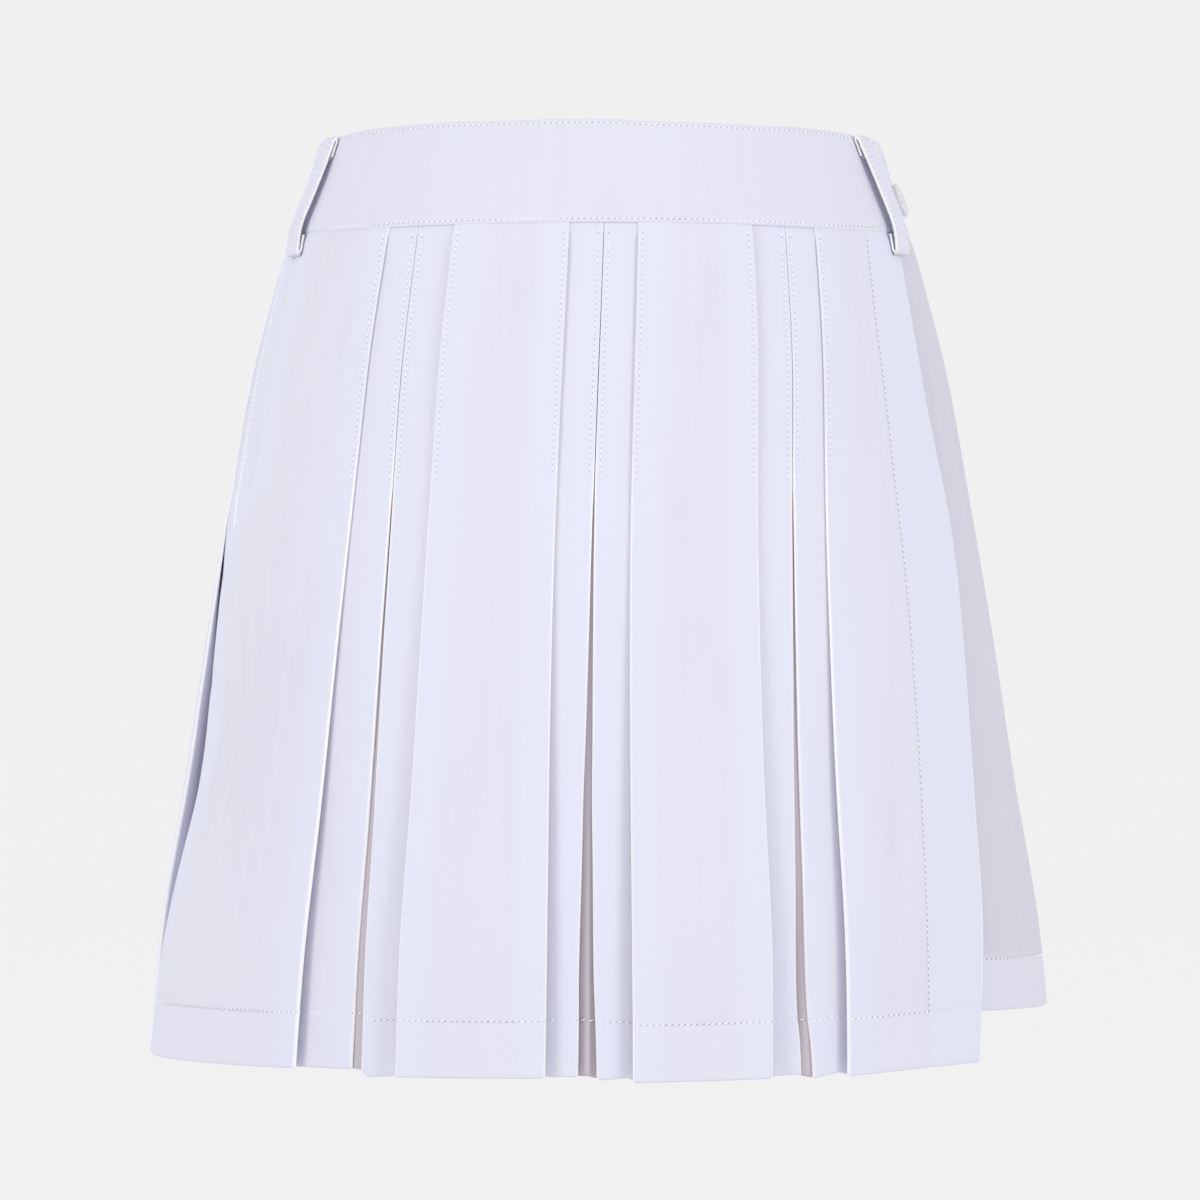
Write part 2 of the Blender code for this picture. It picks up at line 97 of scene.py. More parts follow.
WRAP_EDGE_TURN = (68.5, 64.1, 65.8, 63.0, 58.7, 53.8)
UNDER_EDGE_ARC_SEAM = 114.0
UNDER_EDGE_ARC_HEM = 126.0
UNDER_HEM_DROP = 377.0
UNDER_HEM_TURNS = (50, 62, 80, 103)
UNDER_HEM_DROPS = (372.6, 373.2, 375.0, 377.0)
SHORTS_RISE_DROP = 165.0
SHORTS_CROTCH_DROP = 250.0
SHORTS_HEM_DROP = 330.0
SHORTS_STITCH_DROP = 310.0
LOOP_TURNS = {
    "belt_loop_left": (64.4, 65.9, 67.4, 67.9, 66.8),
    "belt_loop_right": (-68.2, -69.0, -70.4, -71.2, -69.6),
}
LOOP_TURN_DROPS = (0, 12, 24, 36, 50)
LOOP_WIDTH = 12.5
BUTTON_TURN = 78.6
BUTTON_DROP = 26.0
BUTTON_RADIUS = 7.5
BUTTON_BACK = 0.8
BUTTON_FRONT = 3.5
BUTTON_HOLE_OFFSET = 1.35

# ---------------------------------------------------------------- the cloth, as sewn
SHELL = 0.5
STITCHED_FOLD_GAP = 0.75
HEM_FOLD_GAP = 1.9
STITCHED_PITCH = 0.75
HEM_PITCH = 2.4
FOLD_STITCH_INSET = 1.9
HEM_STITCH_RISE = 22.6
HEM_STITCH_DROP = HEM_DROP - HEM_STITCH_RISE
HEM_TURN_UP = 23.6
HEM_TURN_UP_DROP = HEM_DROP - HEM_TURN_UP
TURNED_GAP = 0.55
SEAM_ALLOWANCE = 10.0
FACING_STITCH_DROP = (41, 80, 110, 144, 192, 238, 299, 375, 394)
FACING_STITCH_ARC = (126.3, 128.5, 131.7, 135.2, 140.3, 143.4, 145.5, 146.1, 146.1)
STITCH_LENGTH = 2.15
STITCH_PITCH = 2.5
STITCH_SLANT = 0.42
# The distance from a fold of a column that is near none.
FAR = 99.0
# What a skirt panel is made from: the function that lays its columns out, its hem's drop by turn,
# its soft creases, its pleat groups, and how far it lies behind the ring at a drop and arc.
Panel = namedtuple("Panel", "fill hem_at creases pleats behind")


def smooth_through(value, stations, heights):
    """A curve through the stations that bends smoothly: a cubic between each two of them, whose
    slopes at the stations are the mean slopes of the stretches on either side."""
    x = np.asarray(stations, float)
    y = np.asarray(heights, float)
    slope = np.gradient(y, x)
    value = np.clip(value, x[0], x[-1])
    i = np.clip(np.searchsorted(x, value, side="right") - 1, 0, len(x) - 2)
    span = x[i + 1] - x[i]
    t = (value - x[i]) / span
    start = (1 + 2 * t) * (1 - t) ** 2 * y[i] + t * (1 - t) ** 2 * span * slope[i]
    end = t * t * (3 - 2 * t) * y[i + 1] - t * t * (1 - t) * span * slope[i + 1]
    return start + end


def ease(value, low, high):
    """0 below low, 1 above high, and a smooth S between them."""
    t = np.clip((value - low) / (high - low), 0.0, 1.0)
    return t * t * (3 - 2 * t)


def bump(value, middle, width):
    """1 at the middle and fading to nothing on both sides, over about the width."""
    return np.exp(-(((value - middle) / width) ** 2))


def blend(low, high, share):
    return low + (high - low) * share


def fall_at(drop):
    """How far down the skirt a drop is: 0 at its top and 1 at its hem."""
    return (drop - SKIRT_TOP_DROP) / (HEM_DROP - SKIRT_TOP_DROP)


def half_width(drop):
    return smooth_through(drop, RING_DROP, RING_HALF_WIDTH)


def unit_ring_arcs():
    turns = np.linspace(-180.0, 540.0, 1441)
    angle = np.radians(turns)
    speed = np.hypot(np.cos(angle), RING_DEPTH_RATIO * np.sin(angle))
    steps = (speed[1:] + speed[:-1]) / 2 * np.diff(angle)
    arcs = np.concatenate([[0.0], np.cumsum(steps)])
    return turns, arcs - np.interp(0.0, turns, arcs)


RING_TURNS, RING_ARCS = unit_ring_arcs()


def arc_at(drop, turn):
    return half_width(drop) * np.interp(turn, RING_TURNS, RING_ARCS)


def turn_at(drop, arc):
    return np.interp(arc / half_width(drop), RING_ARCS, RING_TURNS)


def over_grid(*parts):
    """The parts side by side, at every place of the grid that they span."""
    return np.stack(np.broadcast_arrays(*parts), axis=-1)


def on_ring(drop, turn, depth):
    """Points on the ring at this drop and turn, moved inwards by the depth along its normal."""
    angle = np.radians(turn)
    across = half_width(drop)
    deep = RING_DEPTH_RATIO * across
    normal_x = np.sin(angle) / across
    normal_y = -np.cos(angle) / deep
    length = np.hypot(normal_x, normal_y)
    x = across * np.sin(angle) - depth * normal_x / length
    y = -deep * np.cos(angle) - depth * normal_y / length
    return over_grid(x, y, BAND_HEIGHT / 2 - drop)


def seam_dip(turn):
    """How far the seam under the waistband hangs lower in front than at the sides and back."""
    from_front = np.abs((turn + 180.0) % 360.0 - 180.0)
    return SEAM_DIP * (1 - ease(from_front, *SEAM_DIP_TURNS))


# ---------------------------------------------------------------- materials
def linear(code):
    """The linear colour of an sRGB hex code."""
    parts = [int(code[i : i + 2], 16) / 255 for i in (1, 3, 5)]
    return tuple(p / 12.92 if p <= 0.04045 else ((p + 0.055) / 1.055) ** 2.4 for p in parts) + (1.0,)


def add_node(tree, kind, **settings):
    """One node in the tree. A setting named like an input sets that input, or joins it to the
    socket that it is given, and any other sets the node's own property."""
    node = tree.nodes.new(kind)
    for name, value in settings.items():
        if isinstance(value, bpy.types.NodeSocket):
            tree.links.new(value, node.inputs[name.replace("_", " ")])
        elif hasattr(node, name):
            setattr(node, name, value)
        else:
            node.inputs[name.replace("_", " ")].default_value = value
    return node


def start_material(name, roughness, colour=None, sheen=0.0, specular=0.3):
    material = bpy.data.materials.new(name)
    material.use_nodes = True
    tree = material.node_tree
    shader = tree.nodes["Principled BSDF"]
    shader.inputs["Roughness"].default_value = roughness
    shader.inputs["Sheen Weight"].default_value = sheen
    shader.inputs["Sheen Roughness"].default_value = 0.4
    shader.inputs["Specular IOR Level"].default_value = specular
    if colour:
        shader.inputs["Base Color"].default_value = linear(colour)
    return material, tree, shader


def add_ramp(tree, share, low, low_colour, high, high_colour):
    """A colour that goes with the share from one colour to another."""
    ramp = add_node(tree, "ShaderNodeValToRGB", Fac=share)
    first, last = ramp.color_ramp.elements
    first.position, first.color = low, linear(low_colour)
    last.position, last.color = high, linear(high_colour)
    return ramp.outputs["Color"]


def add_relief(tree, shader, height, depth_mm, strength):
    relief = add_node(tree, "ShaderNodeBump", Height=height, Distance=depth_mm * MM, Strength=strength)
    tree.links.new(relief.outputs["Normal"], shader.inputs["Normal"])


def combine(tree, operation, first, second):
    node = add_node(tree, "ShaderNodeMath", operation=operation)
    tree.links.new(first, node.inputs[0])
    tree.links.new(second, node.inputs[1])
    return node.outputs[0]


# The underlay at the back of a pleat is painted a warmer, deeper grey: painted shade, as it sees no sky.
# A fold's outer edge is painted as a thin bright line: a painted highlight.
UNDERLAY_PAINTED_SHADE = "#C3BCC5"
FOLD_EDGE_PAINTED_HIGHLIGHT = "#FEFDFF"


def woven_cloth(name, colour, shade, dense, thread_mm=0.55, depth_mm=0.05):
    """A fine plain weave: threads in both directions, drawn a little coarser than the real ones,
    and slow faint changes of tone along them, as in calendered polyester. Where it lies on a second
    layer less light goes through it, so it is in its dense colour."""
    material, tree, shader = start_material(name, 0.78, sheen=0.18)
    weave = add_node(tree, "ShaderNodeUVMap", uv_map="cloth_mm")
    place = add_node(tree, "ShaderNodeTexCoord")
    warp, weft = (add_node(tree, "ShaderNodeTexWave", wave_type="BANDS", bands_direction=way,
                           Vector=weave.outputs["UV"], Scale=0.314 / thread_mm) for way in "XY")
    crossed = combine(tree, "MAXIMUM", warp.outputs["Fac"], weft.outputs["Fac"])
    add_relief(tree, shader, crossed, depth_mm, 0.35)
    # Slow unevenness of the cloth's tone, a hand's breadth across.
    tone = add_node(tree, "ShaderNodeTexNoise", Vector=place.outputs["Object"], Scale=9.0, Detail=2.0)
    # The faint streaks of uneven threads, a few millimetres wide and long down the cloth.
    drawn = add_node(tree, "ShaderNodeMapping", Vector=weave.outputs["UV"], Scale=(0.13, 0.009, 1.0))
    slub = add_node(tree, "ShaderNodeTexNoise", Vector=drawn.outputs["Vector"], Scale=1.0, Detail=3.0)
    uneven = combine(tree, "ADD", tone.outputs["Fac"], slub.outputs["Fac"])
    here = add_ramp(tree, uneven, 0.7, shade, 1.0, colour)
    # The marks mix in the doubled cloth's dense colour, the underlay's painted shade and the fold edges'
    # painted highlight.
    for mark, tint in (("doubled_cloth", dense), ("pleat_underlay_painted_shade", UNDERLAY_PAINTED_SHADE),
                       ("fold_edge_painted_highlight", FOLD_EDGE_PAINTED_HIGHLIGHT)):
        marked = add_node(tree, "ShaderNodeAttribute", attribute_name=mark)
        mixed = add_node(tree, "ShaderNodeMix", data_type="RGBA", Factor=marked.outputs["Fac"])
        tree.links.new(here, mixed.inputs["A"])
        mixed.inputs["B"].default_value = linear(tint)
        here = mixed.outputs["Result"]
    tree.links.new(here, shader.inputs["Base Color"])
    return material


def sewing_thread():
    """Spun polyester thread: matt, with a fine twist along it."""
    material, tree, shader = start_material("sewing_thread", 0.6, "#F6F6FC", sheen=0.3)
    place = add_node(tree, "ShaderNodeTexCoord")
    twist = add_node(tree, "ShaderNodeTexWave", bands_direction="DIAGONAL",
                     Vector=place.outputs["Object"], Scale=900.0)
    add_relief(tree, shader, twist.outputs["Fac"], 0.05, 0.4)
    return material


def button_plastic():
    """Moulded polyester resin: smooth and half glossy, with a slight cloudiness."""
    material, tree, shader = start_material("button_resin", 0.28, specular=0.5)
    place = add_node(tree, "ShaderNodeTexCoord")
    cloud = add_node(tree, "ShaderNodeTexNoise", Vector=place.outputs["Object"], Scale=160.0, Detail=2.0)
    tree.links.new(add_ramp(tree, cloud.outputs["Fac"], 0.35, "#D9D9E0", 0.7, "#E4E4EA"),
                   shader.inputs["Base Color"])
    return material


# ---------------------------------------------------------------- meshes
def add_mesh(name, points, quads, material, uv=None, triangles=None, marks=None):
    """A mesh in metres from points in millimetres. A point may have its place on the cloth in
    real millimetres, and marks of how much painted highlight it takes at a fold's edge, how far it
    lies on a second layer, and how much painted shade it takes as a pleat's underlay."""
    faces = quads.tolist() + ([] if triangles is None else triangles.tolist())
    mesh = bpy.data.meshes.new(name)
    mesh.from_pydata((points * MM).tolist(), [], faces, shade_flat=False)
    mesh.validate()
    if uv is not None:
        layer = mesh.uv_layers.new(name="cloth_mm")
        layer.data.foreach_set("uv", uv.reshape(-1, 2)[quads.ravel()].astype(np.float32).ravel())
    if marks is not None:
        for place, label in enumerate(("fold_edge_painted_highlight", "doubled_cloth", "pleat_underlay_painted_shade")):
            mark = mesh.attributes.new(label, "FLOAT", "POINT")
            mark.data.foreach_set("value", marks[..., place].astype(np.float32).ravel())
    mesh.materials.append(material)
    piece = bpy.data.objects.new(name, mesh)
    bpy.context.scene.collection.objects.link(piece)
    return piece


def add_grid(name, points, material, uv=None, shell=None, closed_rows=False, marks=None):
    """A grid of points, rows by columns, as a surface that faces outwards. With a shell it gets
    that thickness, half on either side. closed_rows joins the last row to the first."""
    rows, columns = points.shape[:2]
    corner = np.arange(rows * columns).reshape(rows, columns)
    if closed_rows:
        corner = np.vstack([corner, corner[:1]])
    quads = np.stack([corner[:-1, :-1], corner[1:, :-1], corner[1:, 1:], corner[:-1, 1:]], axis=-1)
    piece = add_mesh(name, points.reshape(-1, 3), quads.reshape(-1, 4), material, uv, marks=marks)
    if shell:
        solidify = piece.modifiers.new("cloth thickness", "SOLIDIFY")
        solidify.thickness = shell * MM
        solidify.offset = 0.0
    return piece


def lengths_along(points):
    """The distance along each row of a grid of points, from its first column."""
    steps = np.linalg.norm(np.diff(points, axis=-2), axis=-1)
    return np.concatenate([np.zeros(steps.shape[:-1] + (1,)), np.cumsum(steps, axis=-1)], axis=-1)


# ---------------------------------------------------------------- stitches
def stitch_template():
    """One stitch lying along x, in its own length: a flat thread whose two ends dip into the cloth.
    Its points, quads and triangles."""
    along = np.array([-0.5, -0.36, 0.0, 0.36, 0.5]) * STITCH_LENGTH
    size = np.array([0.0, 0.31, 0.36, 0.31, 0.0])
    height = np.array([-0.3, 0.04, 0.12, 0.04, -0.3])
    turn = np.radians(np.arange(5) * 72.0)
    points = [(along[0], 0.0, height[0])]
    for i in (1, 2, 3):
        points += [(along[i], size[i] * math.cos(t), height[i] + 0.7 * size[i] * math.sin(t))
                   for t in turn]
    points.append((along[4], 0.0, height[4]))
    triangles = [(0, 1 + (k + 1) % 5, 1 + k) for k in range(5)]
    triangles += [(16, 11 + k, 11 + (k + 1) % 5) for k in range(5)]
    quads = [(1 + 5 * i + k, 1 + 5 * i + (k + 1) % 5, 6 + 5 * i + (k + 1) % 5, 6 + 5 * i + k)
             for i in range(2) for k in range(5)]
    points = np.array(points)
    points[:, 1] += STITCH_SLANT * points[:, 0]
    return points, np.array(quads), np.array(triangles)


def needle_hole_template():
    """The dent between two stitches where the thread goes through: a small flat dark oval of painted
    shade.
    """
    turn = np.radians(np.arange(8) * 45.0)
    rim = [(STITCH_PITCH / 2 + 0.32 * math.cos(t), 0.3 * math.sin(t), 0.03) for t in turn]
    triangles = [(0, 1 + k, 1 + (k + 1) % 8) for k in range(8)]
    return np.array([(STITCH_PITCH / 2, 0.0, 0.02)] + rim), np.empty((0, 4), int), np.array(triangles)


def stitches_along(path, normals, pitch=STITCH_PITCH):
    """The places of the stitches along a path: middles, directions and normals."""
    length = lengths_along(path)
    count = max(1, int(length[-1] // pitch))
    middle = (np.arange(count) + 0.5) * length[-1] / count

    def at(values, where):
        return np.stack([np.interp(where, length, values[:, k]) for k in range(3)], axis=-1)

    ahead = at(path, np.minimum(middle + 0.6, length[-1])) - at(path, np.maximum(middle - 0.6, 0))
    ahead /= np.linalg.norm(ahead, axis=1, keepdims=True)
    normal = at(normals, middle)
    normal -= ahead * np.sum(normal * ahead, axis=1, keepdims=True)
    normal /= np.linalg.norm(normal, axis=1, keepdims=True)
    return at(path, middle), ahead, normal


def add_along(name, rows, template, material):
    """The template at every place of some rows, as one mesh. Each row is from stitches_along."""
    shape, *faces = template
    here, ahead, normal = (np.concatenate(part)[:, None] for part in zip(*rows))
    side = np.cross(normal, ahead)
    points = here + ahead * shape[:, :1] + side * shape[:, 1:2] + normal * shape[:, 2:]
    shift = (np.arange(len(here)) * len(shape))[:, None, None]
    quads, triangles = ((corners + shift).reshape(-1, corners.shape[1]) for corners in faces)
    return add_mesh(name, points.reshape(-1, 3), quads, material, triangles=triangles)


def ring_normals(drop, turn):
    """The outward directions on the rings at these drops and turns, square to the surface."""
    here = on_ring(drop, turn, 0.0)
    below = on_ring(drop + 0.5, turn, 0.0) - here
    beside = on_ring(drop, turn + 0.2, 0.0) - here
    normal = np.cross(below, beside)
    return normal / np.linalg.norm(normal, axis=-1, keepdims=True)


def ring_row(drop, turn, depth, pitch=STITCH_PITCH):
    """A row of stitches along the ring's surface, at this depth."""
    return stitches_along(on_ring(drop, turn, depth), ring_normals(drop, turn), pitch)


# ---------------------------------------------------------------- the skirt
# Soft creases, listed one by one: the arc and drop of both ends, how wide, and how far out the
# cloth lifts (a minus sinks it).
FRONT_CREASES = (
    (-176, 150, -214, 205, 7, -0.7),
    (-182, 146, -228, 176, 6, 0.6),
    (-188, 214, -226, 262, 10, 0.8),
    (-120, 62, -104, 150, 11, -0.5),
    (-92, 190, -108, 330, 14, 0.6),
    (-132, 240, -126, 372, 12, -0.5),
    (-48, 60, -40, 150, 9, -0.35),
    (-38, 210, -46, 372, 13, 0.5),
    (40, 58, 46, 140, 9, -0.35),
    (44, 220, 40, 372, 14, 0.5),
    (104, 58, 112, 150, 10, -0.5),
    (112, 190, 124, 350, 13, 0.6),
    (158, 160, 150, 210, 7, -0.5),
    (168, 250, 160, 350, 9, 0.5),
)
BACK_CREASES = (
    (236, 70, 248, 160, 11, -0.5),
    (262, 190, 256, 340, 14, 0.6),
    (300, 60, 308, 150, 10, -0.4),
    (318, 220, 310, 366, 13, 0.6),
    (352, 80, 350, 170, 9, -0.35),
    (392, 64, 386, 150, 10, -0.45),
    (402, 200, 410, 372, 14, 0.6),
    (446, 150, 470, 210, 8, -0.6),
    (452, 60, 446, 130, 10, 0.45),
)
UNDER_CREASES = (
    (176, 60, 196, 150, 8, -0.5),
    (190, 120, 204, 240, 9, 0.6),
    (206, 210, 214, 330, 10, -0.5),
)


def crease_depth(arc, drop, creases):
    """How far the creases sink the cloth: each is a soft trough or ridge along its own line,
    strongest in its middle and running out at both ends."""
    total = np.zeros(np.broadcast(arc, drop).shape)
    for start_arc, start_drop, end_arc, end_drop, width, height in creases:
        along = np.array([end_arc - start_arc, end_drop - start_drop], float)
        length = np.hypot(*along)
        along /= length
        share = ((arc - start_arc) * along[0] + (drop - start_drop) * along[1]) / length
        off = (arc - start_arc) * along[1] - (drop - start_drop) * along[0]
        fade = np.sin(np.pi * np.clip(share, 0.0, 1.0)) ** 1.5
        total -= height * fade * np.exp(-((off / width) ** 2))
    return total


def fold_gap(drop):
    return blend(STITCHED_FOLD_GAP, HEM_FOLD_GAP, ease(drop, STITCH_END_DROP, HEM_DROP - 25))


def layer_pitch(drop):
    pressed = 0.45 + 0.55 * ease(drop, SKIRT_TOP_DROP - 1, SKIRT_TOP_DROP + 9)
    return blend(STITCHED_PITCH, HEM_PITCH, ease(drop, STITCH_END_DROP, HEM_DROP)) * pressed


def pleat_sizes(drop, name):
    """Centre arc, low and high panel widths and half the centre opening of a group, by drop."""
    size = dict(zip(PLEAT_COLUMNS, PLEATS[name]))
    turn = smooth_through(drop, (SKIRT_TOP_DROP, STITCH_END_DROP, HEM_DROP),
                          (size["seam_turn"], size["stitch_turn"], size["hem_turn"]))
    centre = arc_at(drop, turn)
    low = blend(size["low_seam"], size["low_hem"], fall_at(drop))
    high = blend(size["high_seam"], size["high_hem"], fall_at(drop))
    if name == "right_side":
        centre = arc_at(drop, smooth_through(drop, SIDE_DROP, SIDE_CENTRE_TURN))
        high = arc_at(drop, smooth_through(drop, SIDE_DROP, SIDE_FOLD_TURN)) - centre
    freed = ease(drop, STITCH_END_DROP, STITCH_END_DROP + 18)
    closed = 0.28 + 0.04 * ease(drop, 60.0, 120.0) + 0.19 * freed
    spread = np.clip((drop - STITCH_END_DROP) / (HEM_DROP - STITCH_END_DROP), 0.0, 1.0) ** 1.5
    return centre, low, high, blend(closed, size["open_hem"] / 2, spread)


# How far the middle of each underlay hangs behind the rest of it at the hem, a minus being in
# front, the small fold that one of them has, and the share of its width where it hangs out most.
UNDERLAY_HANG = {
    "centre_front": (-3.4, 0.7, 0.5),
    "right_front": (-4.6, 0.0, 0.38),
    "left_front": (-4.5, 0.0, 0.58),
}
# How far each opening has slid sideways between its two main folds, by drop.
SLIDE_DROP = (41, 148, 184, 208, 233, 258, 276, 311, 342, 356, 369, 381, 394)
OPENING_SLIDE = {
    "right_front": (-1.2, -1.9, -2.0, -2.1, -2.1, -2.2, -2.3, -2.3, -2.6, -2.8, -2.9, -3.1, -3.3),
    "centre_front": (0.0, 0.0, 0.0, 0.0, -0.2, -0.5, -0.9, -1.1, -1.4, -1.4, -1.1, -0.9, -0.8),
    "left_front": (0.6, 1.2, 1.2, 1.0, 0.8, 0.5, 0.3, -0.5, -1.3, -1.2, -0.6, 0.9, 1.7),
}


def opening_slide(drop, name):
    """How far a group's opening lies to one side of the group's own centre."""
    return smooth_through(drop, SLIDE_DROP, OPENING_SLIDE[name]) if name in OPENING_SLIDE else 0.0 * drop


def group_pitch(drop, name):
    """The spacing of a group's layers: the one at the side is stitched flatter than the others."""
    if name == "right_side":
        return layer_pitch(drop) * (0.45 + 0.55 * ease(drop, STITCH_END_DROP + 5, STITCH_END_DROP + 75))
    return layer_pitch(drop)


def underlay_hang(drop, name):
    """How far a group's narrow panels sink at the main folds, and its underlay in the middle."""
    fall = ease(drop, STITCH_END_DROP + 10, HEM_DROP)
    sink = 1.15 * (layer_pitch(drop) - STITCHED_PITCH) / (HEM_PITCH - STITCHED_PITCH)
    if name == "right_side":
        sink = 5.0 * ease(drop, 165.0, 240.0) * (1 - 0.5 * ease(drop, 320.0, HEM_DROP))
    middle, step, share = UNDERLAY_HANG.get(name, (0.0, 0.0, 0.5))
    return np.maximum(sink, 0.0), middle * fall, step * fall, share


TIP_ANGLES = np.radians([-90.0, -35.0, 35.0, 90.0])
NEAR_FOLD = (0.5, 1.1, 1.6, 1.9, 2.2, 2.8, 4.2, 7.0, 10.4, 11.4, 12.6, 14.2, 17.0)
NEAR_CENTRE = (0.5, 1.1, 1.6, 1.9, 2.2, 2.8, 4.2, 7.0, 10.0, 13.0)


# Where a side seam rolls in: how far from the seam, and how deep. The allowance lies behind.
SEAM_ROLL = ((SEAM_ALLOWANCE - 0.1, 1.2), (6.0, 1.2), (1.5, 1.2), (0.5, 1.15), (0.12, 0.95), (0.06, 0.65),
             (0.16, 0.4))
SEAM_CLEAR = 0.2


def beside_fold(offsets, clear):
    """The offsets of the columns beside a fold, none of them inside it."""
    return [np.maximum(offset, clear + 0.15 * (i + 1)) for i, offset in enumerate(offsets)]


class Section:
    """The columns of a panel at every level at once. Each has its arc, its depth, how far it is
    from the main fold and from the centre fold nearest to it, and whether it is underlay."""

    def __init__(self, drop):
        self.drop = drop
        self.columns = []

    def add(self, arc, depth, near_main=FAR, near_centre=FAR, inside=0.0):
        values = (arc, depth, near_main, near_centre, inside)
        self.columns.append([0 * self.drop + value for value in values])

    def tip(self, arc, way, start, end):
        """A fold: half a turn whose outermost point is at the arc, from one depth to another."""
        middle, reach = (start + end) / 2, (end - start) / 2
        for angle in TIP_ANGLES:
            behind = np.abs(reach) * (1 - np.cos(angle))
            self.add(arc - way * behind, middle + reach * np.sin(angle), behind, behind)

    def run(self, start, end, first, last, shares):
        for share in shares:
            self.add(blend(start, end, share), blend(first, last, share))

    def seam(self, arc, way):
        """A side seam: the cloth's edge rolls in and its allowance is pressed back behind it. way
        is the direction in which the panel lies."""
        for offset, depth in SEAM_ROLL[::way]:
            self.add(arc + way * offset, depth)

    def main(self, start, end, count, lines=()):
        """A main panel at depth 0 between two folds or edges, finer near both of them."""
        near = beside_fold(NEAR_FOLD, np.minimum(fold_gap(self.drop), layer_pitch(self.drop)) / 2)
        marks = [start + offset for offset in near]
        stops = [start + NEAR_FOLD[-1], *lines, end - NEAR_FOLD[-1]]
        for low, high in zip(stops[:-1], stops[1:]):
            marks += [blend(low, high, share) for share in np.linspace(0, 1, count + 2)[1:-1]]
            if high is not stops[-1]:
                marks += [high + offset for offset in (-0.9, -0.45, 0.0, 0.45, 0.9)]
        marks += [end - offset for offset in near[::-1]]
        for mark in marks:
            self.add(mark, 0.0, np.minimum(mark - start, end - mark))

    def half_group(self, name, way):
        """From a main fold of a group to the middle of its underlay. way is 1 for the half that
        starts the group, and -1 for the one that ends it, whose columns come out the other way
        round. Below the stitching the narrow panel sinks towards the main fold."""
        half = Section(self.drop)
        pitch = group_pitch(self.drop, name)
        gap = np.minimum(fold_gap(self.drop), pitch)
        centre, low, high, opening = pleat_sizes(self.drop, name)
        width = low if way > 0 else high
        fold, edge = centre - way * width, centre + opening_slide(self.drop, name) - way * opening
        back, inner = fold - way * RETURN_WIDTH, centre - way * UNDERLAY_HALF_WIDTH
        sink = underlay_hang(self.drop, name)[0]
        upper, lower = 2 * pitch, 4 * pitch + sink
        half.tip(fold, way, 0 * gap, gap)
        half.run(fold, back, gap, upper - gap + sink, (0.35, 0.7))
        half.tip(back, -way, upper - gap + sink, upper + sink)
        half.run(back, fold - 2 * way, upper + sink, upper + sink, (0.5, 1.0))
        for offset in beside_fold(NEAR_CENTRE, gap / 2)[::-1]:
            half.add(edge - way * offset, upper + sink * ease(offset, 1.0, width - opening), FAR, offset)
        half.tip(edge, way, upper, upper + gap)
        half.run(edge, inner, upper + gap, lower - gap, (0.35, 0.7))
        half.tip(inner, -way, lower - gap, lower)
        return half.columns[::way]

    def group(self, name):
        """One pleat group: eight folds, and the cloth between them. Its underlay hangs its own way
        behind the opening."""
        centre = pleat_sizes(self.drop, name)[0]
        sink, middle, step, most = underlay_hang(self.drop, name)
        lower = 4 * group_pitch(self.drop, name) + sink
        self.columns += self.half_group(name, 1)
        for share in (0.2, 0.34, 0.42, 0.455, 0.475, 0.5, 0.525, 0.56, 0.64, 0.8):
            small_fold = step * ease(share, 0.5, 0.53) * bump(share, 0.55, 0.2)
            hang = middle * bump(share, most, 0.22) + small_fold
            self.add(centre + UNDERLAY_HALF_WIDTH * (2 * share - 1), lower + hang, inside=1.0)
        self.columns += self.half_group(name, -1)

    def groups(self, start, counts):
        """Groups with a main panel before each, of this many columns. Returns where they end."""
        for name, count in counts.items():
            centre, low, high, _ = pleat_sizes(self.drop, name)
            self.main(start, centre - low, count)
            self.group(name)
            start = centre + high
        return start

    def arrays(self):
        return [np.concatenate(part, axis=1) for part in zip(*self.columns)]


def skirt_levels():
    """The drops of the skirt's rows: close together at the seam, where the pleat stitching ends,
    at the hem's stitching and at the hem."""
    seam = (39.6, 40.4, 41.2, 42.0, 43.0, 44.5, 47.0, 51.0, 56.0)
    body = (*np.linspace(62, 140, 13), 144, 147, 149, 152, 156, 161, *np.linspace(167, 362, 30))
    hem = tuple(HEM_STITCH_DROP + more for more in (-5, -2.6, -1.4, -0.7, 0, 0.7, 1.4, 3, 7, 12, 17, 21))
    return np.array(seam + body + hem + (HEM_DROP,))


def turn_up_rows():
    """The rows of the turned-up hem: how far above the hem, and how far behind the outer cloth."""
    angle = np.radians([30.0, 90.0, 150.0])
    below = [(-TURNED_GAP / 2 * math.sin(a), TURNED_GAP / 2 * (1 - math.cos(a))) for a in angle]
    flat = [(above, TURNED_GAP) for above in (0.6, 5.0, 11.0, 17.0)]
    return np.array(below + flat + [(HEM_STITCH_RISE, TURNED_GAP * 0.8), (HEM_TURN_UP, TURNED_GAP)])


def panel_relief(panel, drop, arcs, near_main, near_centre):
    """What lies over a panel's own depths: grooves along the stitching, the step where a return
    ends behind the cloth, the sinking under the waistband, the soft creases, and its own place."""
    stitched = 1 - ease(drop, STITCH_END_DROP - 1, STITCH_END_DROP + 5)
    beside = bump(near_main, FOLD_STITCH_INSET, 0.5) + bump(near_centre, FOLD_STITCH_INSET, 0.5)
    groove = 0.22 * stitched * beside
    imprint = 0.176 * ease(near_main, 10.6, 13.4) * (near_main < FAR)
    hem_groove = 0.2 * bump(drop, HEM_STITCH_DROP, 0.7)
    if panel is FRONT:
        hem_groove = hem_groove + 0.2 * bump(arcs, facing_stitch_arc(drop), 0.55)
    ledge = 0.6 * (1 - ease(drop, 40.8, 45.0))
    form = crease_depth(arcs, drop, panel.creases) + panel.behind(drop, arcs)
    return 0.3 + groove + imprint + hem_groove + ledge + form


def section_normals(arcs, depths):
    """The direction towards the cloth's inner face at each column, along the arc and in depth."""
    along = np.gradient(arcs, axis=1)
    deeper = np.gradient(depths, axis=1)
    length = np.hypot(along, deeper) + 1e-9
    return -deeper / length, along / length


